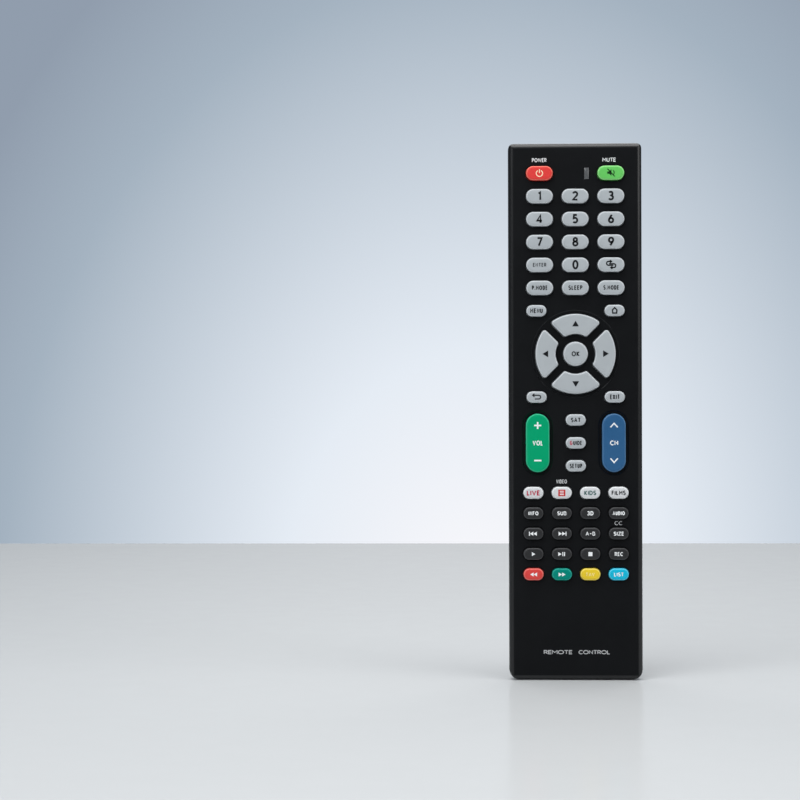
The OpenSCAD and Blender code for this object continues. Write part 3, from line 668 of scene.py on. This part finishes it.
# %% Make the keys
for key in KEYS:
    points, groups, rim = key_parts(key)
    slot = OWN_FINISH.get(key, "key_grey")
    cap = make_piece(key + "_cap", points, groups, KEY_FINISH[slot], key)
    # The rim mask rides on the cap as an attribute, for the painted highlight in its finish.
    cap.data.attributes.new("rim", "FLOAT", "POINT").data.foreach_set("value", rim.astype(np.float32))
    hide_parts(key)
print("keys made, the last with", len(points), "points")

# %% [markdown]
# ## Legends
#
# The legends are printed ink. Text objects would do, but their letters are wide and end in
# many small faces. A plain pen alphabet is nearer to what is printed on keys: each letter is a
# few strokes, and each stroke is a flat ribbon, thin as a film of ink, that follows a path.

# %% Draw with a pen
MITRE = 1.6
SHORTEST = 1e-9


def arc(x, z, across, tall, start, stop, steps=17):
    """Points on an ellipse round (x, z), from one angle in degrees to another."""
    angle = np.radians(np.linspace(start, stop, steps))
    return np.stack([x + across * np.cos(angle), z + tall * np.sin(angle)], axis=1)


def path(*pieces):
    """One path from single points and arcs, in order."""
    return np.concatenate([np.atleast_2d(np.array(piece, float)) for piece in pieces])


def ribbon(points, width, front, back):
    """A flat band: the path moved half a width to both sides, at a front and a back depth.

    At a bend the two sides move along the mean of the neighbouring normals, lengthened so that the
    band keeps its width, but never by more than MITRE times.
    """
    looped = np.allclose(points[0], points[-1])
    nodes = points[:-1] if looped else points
    runs = np.roll(nodes, -1, axis=0) - nodes
    runs /= np.maximum(np.linalg.norm(runs, axis=1, keepdims=True), SHORTEST)
    if not looped:
        runs[-1] = runs[-2]
    sides = runs @ np.array([[0.0, 1.0], [-1.0, 0.0]])
    before = np.roll(sides, 1, axis=0)
    if not looped:
        before[0] = sides[0]
    mean = sides + before
    mean /= np.maximum(np.linalg.norm(mean, axis=1, keepdims=True), SHORTEST)
    stretch = 1 / np.clip(np.einsum("ij,ij->i", mean, sides), 1 / MITRE, 1)
    step = mean * stretch[:, None] * width / 2
    corners = np.stack([nodes - step, nodes + step, nodes + step, nodes - step], axis=1)
    depth = np.broadcast_to(np.array([front, front, back, back])[None, :, None], (len(nodes), 4, 1))
    grid = np.concatenate([corners[..., :1], depth, corners[..., 1:]], axis=2)
    return outward(*skin(grid, looped))


def patch(points, front, back):
    """A flat filled shape: its outline at a back and at a front depth, closed by one face each."""
    outline = np.array(points, float)
    rows = [np.insert(outline, 1, depth, axis=1) for depth in (back, front)]
    return outward(*skin(np.stack(rows)))


print("pen ready")

# %% [markdown]
# The alphabet is drawn on a square one unit tall round its middle. Round letters are arcs and
# straight ones are corner points, so the whole alphabet is short.

# %% The pen alphabet
GLYPHS = {
    "0": [arc(0, 0, 0.28, 0.5, 90, 450)],
    "1": [path((-0.14, 0.32), (0.07, 0.5), (0.07, -0.5))],
    "2": [path(arc(0, 0.22, 0.27, 0.28, 165, -38), (-0.28, -0.5), (0.29, -0.5))],
    "3": [path(arc(-0.01, 0.26, 0.22, 0.24, 150, -80), arc(-0.01, -0.24, 0.28, 0.26, 80, -150))],
    "4": [path((0.13, -0.5), (0.13, 0.5), (-0.31, -0.22), (0.32, -0.22))],
    "5": [path((0.23, 0.5), (-0.15, 0.5), (-0.2, 0.06), arc(-0.01, -0.19, 0.28, 0.31, 118, -145))],
    "6": [arc(0, -0.21, 0.28, 0.29, 90, 450), path((0.1, 0.5), (-0.24, -0.04))],
    "7": [path((-0.27, 0.5), (0.27, 0.5), (-0.1, -0.5))],
    "8": [arc(0, 0.26, 0.22, 0.24, -90, 270), arc(0, -0.24, 0.28, 0.26, 90, 450)],
    "9": [arc(0, 0.21, 0.28, 0.29, 90, 450), path((-0.1, -0.5), (0.24, 0.04))],
    "A": [path((-0.34, -0.5), (0, 0.5), (0.34, -0.5)), path((-0.21, -0.17), (0.21, -0.17))],
    "B": [path((-0.24, -0.5), (-0.24, 0.5), arc(0.02, 0.26, 0.2, 0.24, 90, -90), (-0.24, 0.02)),
          path((-0.24, 0.02), arc(0.02, -0.24, 0.25, 0.26, 90, -90), (-0.24, -0.5))],
    "C": [arc(0.06, 0, 0.37, 0.5, 52, 308)],
    "D": [path((-0.28, -0.5), (-0.28, 0.5), arc(-0.06, 0, 0.36, 0.5, 90, -90), (-0.28, -0.5))],
    "E": [path((0.21, 0.5), (-0.21, 0.5), (-0.21, -0.5), (0.21, -0.5)), path((-0.21, 0.02), (0.16, 0.02))],
    "F": [path((0.21, 0.5), (-0.21, 0.5), (-0.21, -0.5)), path((-0.21, 0.02), (0.15, 0.02))],
    "G": [path(arc(0.03, 0, 0.38, 0.5, 52, 350), (0.4, 0.0), (0.1, 0.0))],
    "H": [path((-0.28, 0.5), (-0.28, -0.5)), path((0.28, 0.5), (0.28, -0.5)), path((-0.28, 0), (0.28, 0))],
    "I": [path((0, 0.5), (0, -0.5))],
    "K": [path((-0.23, 0.5), (-0.23, -0.5)), path((0.26, 0.5), (-0.2, 0.02), (0.28, -0.5))],
    "L": [path((-0.18, 0.5), (-0.18, -0.5), (0.2, -0.5))],
    "M": [path((-0.36, -0.5), (-0.36, 0.5), (0, -0.1), (0.36, 0.5), (0.36, -0.5))],
    "N": [path((-0.28, -0.5), (-0.28, 0.5), (0.28, -0.5), (0.28, 0.5))],
    "O": [arc(0, 0, 0.4, 0.5, 90, 450)],
    "P": [path((-0.21, -0.5), (-0.21, 0.5), arc(0.03, 0.24, 0.21, 0.26, 90, -90), (-0.21, -0.02))],
    "R": [path((-0.23, -0.5), (-0.23, 0.5), arc(0.01, 0.24, 0.21, 0.26, 90, -90), (-0.23, -0.02)),
          path((0.0, -0.02), (0.25, -0.5))],
    "S": [path(arc(0, 0.25, 0.23, 0.25, 35, 265), arc(0, -0.25, 0.25, 0.25, 85, -145))],
    "T": [path((-0.27, 0.5), (0.27, 0.5)), path((0, 0.5), (0, -0.5))],
    "U": [path((-0.27, 0.5), arc(0, -0.2, 0.27, 0.3, 180, 360), (0.27, 0.5))],
    "V": [path((-0.33, 0.5), (0, -0.5), (0.33, 0.5))],
    "W": [path((-0.46, 0.5), (-0.23, -0.5), (0, 0.4), (0.23, -0.5), (0.46, 0.5))],
    "X": [path((-0.29, 0.5), (0.29, -0.5)), path((0.29, 0.5), (-0.29, -0.5))],
    "Z": [path((-0.26, 0.5), (0.26, 0.5), (-0.28, -0.5), (0.28, -0.5))],
    "-": [path((-0.2, 0), (0.2, 0))],
    ".": [path((0, -0.5), (0, -0.38))],
}
LETTER_SPACE = 1.5


def written(text, height, pen, place, depths, width=None):
    """Ribbons of a word, centred on a place.

    The glyphs stand side by side by their own widths, a few pens apart. They keep the proportions
    of their height, or are narrowed or widened so that the whole word has a given width.
    """
    strokes_x = [np.concatenate(GLYPHS[letter])[:, 0] for letter in text]
    lows = np.array([x.min() for x in strokes_x])
    spans = np.array([x.max() for x in strokes_x]) - lows
    tall, gap = height - pen, LETTER_SPACE * pen
    gaps = gap * (len(text) - 1)
    wide = (width - pen - gaps) / spans.sum() if width else tall
    starts = np.cumsum(spans * wide + gap) - spans * wide - gap - (spans.sum() * wide + gaps) / 2
    return [ribbon((stroke - [low, 0]) * [wide, tall] + [start, 0] + place, pen, *depths)
            for letter, low, start in zip(text, lows, starts) for stroke in GLYPHS[letter]]


print(len(GLYPHS), "glyphs in the alphabet")

# %% [markdown]
# The inks are thin satin films. Each is a moulded finish of its own with hardly any grain.

# %% Mix the inks
INK_COLOURS = {
    "black": (0.004, 0.0045, 0.006),
    "slate": (0.06, 0.062, 0.068),
    "white": (0.78, 0.80, 0.81),
    "soft_white": (0.50, 0.51, 0.52),
    "cream": (0.90, 0.70, 0.48),
    "pale_yellow": (0.86, 0.72, 0.30),
    "leaf": (0.004, 0.035, 0.006),
    "teal": (0.015, 0.085, 0.080),
    "crimson": (0.42, 0.012, 0.045),
    "scarlet": (0.48, 0.016, 0.016),
}
INKS = {name: moulded_finish("ink_" + name, colour, rough=(0.42, 0.55), grain=9000.0, grain_depth=0.001,
                             mottle=0.16, specular=0.2)
        for name, colour in INK_COLOURS.items()}
INK_FRONT = -0.02
INK_BACK = 0.03
KEY_DEPTHS = (FACE_Y - KEY_RISE + INK_FRONT, FACE_Y - KEY_RISE + INK_BACK)
FACE_DEPTHS = (FACE_Y + INK_FRONT, FACE_Y + INK_BACK)
print(len(INKS), "inks")

# %% [markdown]
# The digits are tall and the words are small. Words that name a function are plain ones that any
# remote has, and plain words also stand where a maker would put a name.

# %% Print digits and words
# The word on a key, its height, its width and its ink.
WORDS = {
    "enter_key": ("ENTER", 1.5, 5.0, "slate"), "picture_key": ("P.MODE", 1.7, 5.8, "black"),
    "sleep_key": ("SLEEP", 1.7, 5.2, "black"), "sound_key": ("S.MODE", 1.7, 5.8, "black"),
    "menu_key": ("MENU", 1.8, 4.7, "black"), "exit_key": ("EXIT", 1.8, 3.6, "black"),
    "ok_key": ("OK", 1.9, 3.0, "black"), "satellite_key": ("SAT", 1.7, 3.6, "black"),
    "setup_key": ("SETUP", 1.7, 4.6, "black"), "app_1_key": ("LIVE", 1.9, 4.9, "crimson"),
    "app_3_key": ("KIDS", 1.7, 4.4, "teal"), "app_4_key": ("FILMS", 1.7, 5.2, "black"),
    "info_key": ("INFO", 1.5, 3.7, "white"), "subtitle_key": ("SUB", 1.5, 3.4, "white"),
    "screen_key": ("3D", 1.6, 2.4, "white"), "audio_key": ("AUDIO", 1.5, 4.5, "white"),
    "repeat_key": ("A-B", 1.5, 3.6, "white"), "format_key": ("SIZE", 1.5, 3.8, "white"),
    "record_key": ("REC", 1.5, 3.1, "white"), "yellow_key": ("FAV", 1.4, 3.1, "pale_yellow"),
    "blue_key": ("LIST", 1.5, 3.6, "white"),
}
DIGIT_HEIGHT = 3.55
DIGIT_PEN = 0.72
WORD_PEN = 0.21
GUIDE_HEIGHT = 1.6
GUIDE_PEN = 0.32


def printed(key, parts, ink):
    """A legend on a key, riding with it."""
    make_piece(f"{key}_legend_{ink}", *joined(parts), INKS[ink], key)


for digit in range(10):
    key = f"digit_{digit}_key"
    printed(key, written(str(digit), DIGIT_HEIGHT, DIGIT_PEN, middle(key), KEY_DEPTHS), "black")
for key, (text, height, widest, ink) in WORDS.items():
    printed(key, written(text, height, WORD_PEN * height, middle(key), KEY_DEPTHS, widest), ink)
for letters, aside, widest, ink in [("G", -1.75, 1.0, "crimson"), ("UIDE", 0.65, 3.3, "black")]:
    place = middle("guide_key") + [aside, 0]
    printed("guide_key", written(letters, GUIDE_HEIGHT, GUIDE_PEN, place, KEY_DEPTHS, widest), ink)
print("10 digits and", len(WORDS) + 1, "words printed")

# %% [markdown]
# Symbols mix strokes and filled shapes. They are written as small functions of the place, so that a
# play triangle, for one, is drawn once and used on several keys.


# %% Draw the symbols
def triangle(place, width, height, turn=0.0):
    """A filled triangle that points up, turned about its middle."""
    corners = np.array([[-width / 2, -height / 2], [width / 2, -height / 2], [0, height / 2]])
    return patch(corners @ spin(turn) + place, *KEY_DEPTHS)


def block(place, width, height, depths=KEY_DEPTHS):
    """A filled rectangle round a place."""
    corners = np.array([[-1, -1], [1, -1], [1, 1], [-1, 1]]) * [width / 2, height / 2]
    return patch(corners + place, *depths)


def plus(place, width, pen):
    """A filled cross: two bars of one width, as one outline of twelve corners."""
    arm, half = width / 2, pen / 2
    quarter = np.array([[half, arm], [half, half], [arm, half]])
    corners = np.concatenate([quarter @ spin(-k * math.pi / 2) for k in range(4)])
    return patch(corners + place, *KEY_DEPTHS)


def strokes(place, size, pen, *paths):
    """Ribbons along paths drawn on a unit square, scaled to a size round a place."""
    return [ribbon(points * size + place, pen, *KEY_DEPTHS) for points in paths]


POWER_SIGN = [arc(0, -0.03, 0.42, 0.42, 118, 422), path((0, 0.52), (0, 0.0))]
SPEAKER = np.array([(-0.52, -0.16), (-0.26, -0.16), (0.08, -0.46), (0.08, 0.46), (-0.26, 0.16),
                    (-0.52, 0.16)])
MUTE_SIGN = [path((-0.5, 0.56), (0.56, -0.56)), arc(0.1, 0, 0.36, 0.4, -50, 50)]
HOME_SIGN = [path((-0.32, -0.44), (-0.38, 0.08), (0, 0.46), (0.38, 0.08), (0.32, -0.44), (-0.32, -0.44))]
RETURN_SIGN = [path((-0.62, 0.3), arc(0.3, 0, 0.34, 0.3, 90, -90), (-0.3, -0.3)),
               path((-0.36, 0.56), (-0.64, 0.3), (-0.36, 0.04))]
RECALL_SIGN = [path((0.0, 0.42), arc(-0.36, 0.16, 0.26, 0.26, 90, 270), (0.3, -0.1)),
               path((0.0, -0.42), arc(0.36, -0.16, 0.26, 0.26, -90, 90), (-0.3, 0.1)),
               path((-0.16, 0.6), (0.04, 0.42), (-0.16, 0.24)),
               path((0.16, -0.24), (-0.04, -0.42), (0.16, -0.6))]
RISE_SIGN = [path((-0.5, -0.28), (0, 0.28), (0.5, -0.28))]
FALL_SIGN = [points * [1, -1] for points in RISE_SIGN]

# The sign on a key, its size, its pen and its ink.
SIGNS = [("power_key", POWER_SIGN, 2.8, 0.34, "cream"), ("mute_key", MUTE_SIGN, 2.6, 0.36, "leaf"),
         ("home_key", HOME_SIGN, 2.2, 0.52, "black"), ("return_key", RETURN_SIGN, 2.3, 0.42, "black"),
         ("recall_key", RECALL_SIGN, 2.7, 0.5, "black")]
for key, sign, size, pen, ink in SIGNS:
    marks = strokes(middle(key), size, pen, *sign)
    if key == "mute_key":
        marks.append(patch(SPEAKER * size + middle(key), *KEY_DEPTHS))
    printed(key, marks, ink)

PAD_MARK_RADIUS = 11.2
PAD_MARK_SIZE = (2.5, 2.1)
for key, turn in ARROW_TURNS.items():
    place = middle("ok_key") + PAD_MARK_RADIUS * np.array([-math.sin(turn), math.cos(turn)])
    printed(key, [triangle(place, *PAD_MARK_SIZE, turn)], "black")
print("signs and arrows printed")

# %% Print the rockers
ROCKER_MARK = 6.5
PLUS_SIZE, MINUS_SIZE, SIGN_PEN = 2.6, 2.7, 0.58
CHEVRON_SIZE, CHEVRON_PEN = 2.7, 0.46
ROCKER_WORD_PEN = 0.36
volume, channel = middle("volume_rocker"), middle("channel_rocker")
rocker_up, rocker_down = np.array([0, ROCKER_MARK]), np.array([0, -ROCKER_MARK])
printed("volume_rocker", [
    plus(volume + rocker_up, PLUS_SIZE, SIGN_PEN),
    block(volume + rocker_down, MINUS_SIZE, SIGN_PEN),
    *written("VOL", 1.9, ROCKER_WORD_PEN, volume, KEY_DEPTHS, 3.8)], "white")
printed("channel_rocker", [
    *strokes(channel + rocker_up, CHEVRON_SIZE, CHEVRON_PEN, *RISE_SIGN),
    *strokes(channel + rocker_down, CHEVRON_SIZE, CHEVRON_PEN, *FALL_SIGN),
    *written("CH", 1.8, ROCKER_WORD_PEN, channel, KEY_DEPTHS, 3.0)], "white")
print("rockers printed")

# %% Print the play keys
MARK = 1.5
MARK_LENGTH = 1.25
MARK_BAR = 0.34


def bar(place):
    """An upright bar."""
    return block(place, MARK_BAR, MARK)


def square(place):
    """A filled square."""
    return block(place, MARK, MARK)


def leftwards(place):
    """A triangle that points left."""
    return triangle(place, MARK, MARK_LENGTH, math.pi / 2)


def rightwards(place):
    """A triangle that points right."""
    return triangle(place, MARK, MARK_LENGTH, -math.pi / 2)


PLAY_MARKS = {
    "previous_key": [(-1.5, bar), (-0.7, leftwards), (0.6, leftwards)],
    "next_key": [(-0.6, rightwards), (0.7, rightwards), (1.5, bar)],
    "play_key": [(0, rightwards)],
    "pause_key": [(-0.75, rightwards), (0.3, bar), (0.95, bar)],
    "stop_key": [(0, square)],
    "red_key": [(-0.65, leftwards), (0.65, leftwards)],
    "green_key": [(-0.65, rightwards), (0.65, rightwards)],
}
for key, marks in PLAY_MARKS.items():
    printed(key, [mark(middle(key) + [aside, 0]) for aside, mark in marks], "white")
print(len(PLAY_MARKS), "keys printed with play marks")

# %% Print the list key
TILE_SIZE = (2.6, 2.4)
TILE_BAR = (1.5, 0.26)
TILE_BAR_STEPS = (-0.62, 0, 0.62)
tile = middle("app_2_key")
bars_depths = (KEY_DEPTHS[0] + INK_FRONT, KEY_DEPTHS[0] - INK_FRONT / 2)
bars = [block(tile + [0, step], *TILE_BAR, bars_depths) for step in TILE_BAR_STEPS]
printed("app_2_key", [block(tile, *TILE_SIZE)], "scarlet")
make_piece("app_2_key_bars", *joined(bars), INKS["white"], "app_2_key")
print("list key printed with", len(bars), "bars")

# %% [markdown]
# Two words are printed on the face above the power and mute keys, and two greyer ones above keys of
# the lower rows. A plain line below the keys says what the thing is. They all ride on the case.

# %% Print the face
LABEL_RISE = 5.0
LABEL_HEIGHT = 1.5
LABEL_PEN = 0.25
LINE_HEIGHT = 10.5
LABELS = [("POWER", middle("power_key") + [0, LABEL_RISE], 5.4, "white"),
          ("MUTE", middle("mute_key") + [-0.5, LABEL_RISE], 5.0, "white"),
          ("VIDEO", middle("app_2_key") + [0, 4.15], 4.0, "soft_white"),
          ("CC", middle("format_key") + [0, 3.8], 2.9, "soft_white"),
          ("REMOTE", np.array([-6.7, LINE_HEIGHT]), 10.6, "soft_white"),
          ("CONTROL", np.array([6.7, LINE_HEIGHT]), 11.6, "soft_white")]
for text, place, width, ink in LABELS:
    label = written(text, LABEL_HEIGHT, LABEL_PEN, place, FACE_DEPTHS, width)
    make_piece("label_" + text.lower(), *joined(label), INKS[ink], "case")
print(len(LABELS), "labels on the face")

# %% [markdown]
# ## The indicator lens
#
# Between the power and mute keys a narrow smoked lens covers the indicator light. It is a low dome
# over a rectangle, made by dropping the height with the square of the distance from the middle.

# %% Make the indicator lens
LENS_SIZE = (1.6, 4.2)
LENS_RISE = 0.22
LENS_PLACE = (4.3, middle("power_key")[1])
LENS_ROWS = 8
LENS_COLUMNS = 68
LENS_CORNER = 0.35
LENS_MIDDLE = 0.04
LENS_FRONT, LENS_BACK = -0.01, 0.02


def lens_surface():
    """Rounded rectangles that shrink from the edge to the middle while the height grows as a parabola.

    A low power of the cosine and the sine squares the circle off to such a rectangle.
    """
    share = np.linspace(1, LENS_MIDDLE, LENS_ROWS)
    angle = np.linspace(0, 2 * math.pi, LENS_COLUMNS, endpoint=False)
    circle = np.stack([np.cos(angle), np.sin(angle)], axis=1)
    flat = np.sign(circle) * np.abs(circle) ** LENS_CORNER * np.array(LENS_SIZE) / 2
    layers = flat[None] * share[:, None, None] + LENS_PLACE
    height = np.broadcast_to((LENS_RISE * (1 - share ** 2))[:, None, None], (LENS_ROWS, LENS_COLUMNS, 1))
    dome = np.concatenate([layers[..., :1], FACE_Y + LENS_FRONT - height, layers[..., 1:]], axis=2)
    foot = dome[:1] + [0, LENS_BACK - LENS_FRONT, 0]
    return outward(*skin(np.concatenate([foot, dome])))


lens_finish = moulded_finish("smoked_lens", (0.085, 0.088, 0.093), rough=(0.2, 0.3), grain_depth=0.001,
                             mottle=0.3, coat=0.4)
make_piece("indicator_lens", *lens_surface(), lens_finish, "case")
print("lens at", [round(float(v), 1) for v in LENS_PLACE], "mm")

# %% [markdown]
# ## Light and backdrop
#
# The photograph was taken on a pale table before a pale blue wall, under large soft lamps. The
# lamps stand off to the sides and above, so that the matte face doesn't mirror them. The wall is
# brightest behind the table. It shows to the camera and, dimmed, in reflections, so it doesn't
# light the object and hardly shines in its edges.

# %% Make the wall glow
WALL_Y = 1.7
WALL_TONES = [(0.0, (0.965, 0.952, 0.979)), (0.33, (0.785, 0.839, 0.908)), (0.57, (0.572, 0.638, 0.714)),
              (0.80, (0.372, 0.447, 0.529)), (1.0, (0.282, 0.337, 0.417))]
WALL_IN_GLOSS = 0.55
GLOW_PLACE = (-0.031, WALL_Y, -0.163)
GLOW_REACH = (0.73, 1.0, 0.99)


def wall_finish():
    """Glow that fades with the distance from its brightest place, each way by its own reach.

    It shows to camera and transmission rays, and dimmed to glossy ones.
    """
    material, nodes, surface = new_material("pale_wall")
    nodes.remove(surface)
    place = new_node(nodes, "TexCoord").outputs["Object"]
    centred = new_node(nodes, "Mapping", place, vector_type="TEXTURE", Location=GLOW_PLACE,
                       Scale=GLOW_REACH).outputs["Vector"]
    distance = new_node(nodes, "VectorMath", centred, operation="LENGTH").outputs["Value"]
    rays = new_node(nodes, "LightPath").outputs
    dimmed = new_node(nodes, "Math", rays["Is Glossy Ray"], WALL_IN_GLOSS, rays["Is Transmission Ray"],
                      operation="MULTIPLY_ADD").outputs["Value"]
    seen = new_node(nodes, "Math", rays["Is Camera Ray"], dimmed, operation="MAXIMUM").outputs["Value"]
    glow = new_node(nodes, "Emission", colour_ramp(nodes, distance, WALL_TONES), seen)
    feed(nodes["Material Output"], {"Surface": glow.outputs["Emission"]})
    return material


print("the wall glows in", len(WALL_TONES), "tones")

# %% Set the floor and the wall
TABLE_END = 0.71
TABLE = ((-2.2, -1.6, 0), (2.2, TABLE_END, 0))
WALL = ((-2.6, WALL_Y, -0.8), (2.6, WALL_Y, 2.2))


def flat_stage(name, low, high, material):
    """A rectangle between two opposite corners, level or upright, that isn't part of the object."""
    mesh = bpy.data.meshes.new(name)
    mesh.from_pydata([low, (high[0], *low[1:]), high, (low[0], *high[1:])], [], [(0, 1, 2, 3)])
    mesh.materials.append(material)
    sheet = placed(name, mesh)


floor_finish = moulded_finish("pale_table", (0.515, 0.53, 0.54), rough=(0.165, 0.175), grain=300.0,
                              grain_depth=0.0, mottle=0.02, specular=0.02)
flat_stage("table", *TABLE, floor_finish)
flat_stage("wall", *WALL, wall_finish())
print("table ends at", TABLE_END, "m and the wall stands at", WALL_Y, "m")

# %% Set the lamps
NEUTRAL, COOL = (1.0, 0.995, 0.99), (0.97, 0.99, 1.0)
AT_REMOTE, AT_FAR_TABLE = (0, 0, 0.1), (0, 1.0, 0)
# Name, place, aim, size, watts and colour.
LAMPS = [("overhead", (0.0, -0.2, 1.15), AT_REMOTE, (1.0, 0.8), 11.3, NEUTRAL),
         ("far_overhead", (0.0, 1.0, 1.2), AT_FAR_TABLE, (1.8, 1.0), 15.5, NEUTRAL),
         ("right_side", (1.0, -0.58, 0.62), AT_REMOTE, (0.8, 0.8), 5.0, NEUTRAL),
         ("left_front", (-0.8, -1.15, 1.08), AT_REMOTE, (1.5, 1.2), 19.0, COOL)]
NEARLY_UP = [0, 0.02, 1]
ROOM_COLOUR = (0.75, 0.80, 0.88, 1)
ROOM_LIGHT = 0.16


def soft_lamp(name, place, aim, size, watts, colour):
    """A rectangular lamp whose face points from its place to an aim point."""
    lamp = bpy.data.lights.new(name, "AREA")
    lamp.shape = "RECTANGLE"
    lamp.size, lamp.size_y = size
    lamp.energy = watts
    lamp.color = colour
    back = np.array(place) - np.array(aim)
    back /= np.linalg.norm(back)
    side = np.cross(NEARLY_UP, back)
    side /= np.linalg.norm(side)
    placed(name, lamp).matrix_world = pose(side, np.cross(back, side), back, place)


for lamp in LAMPS:
    soft_lamp(*lamp)
world = bpy.data.worlds.new("studio")
bpy.context.scene.world = world
world.use_nodes = True
feed(world.node_tree.nodes["Background"], {"Color": ROOM_COLOUR, "Strength": ROOM_LIGHT})
print(len(bpy.data.lights), "lamps")
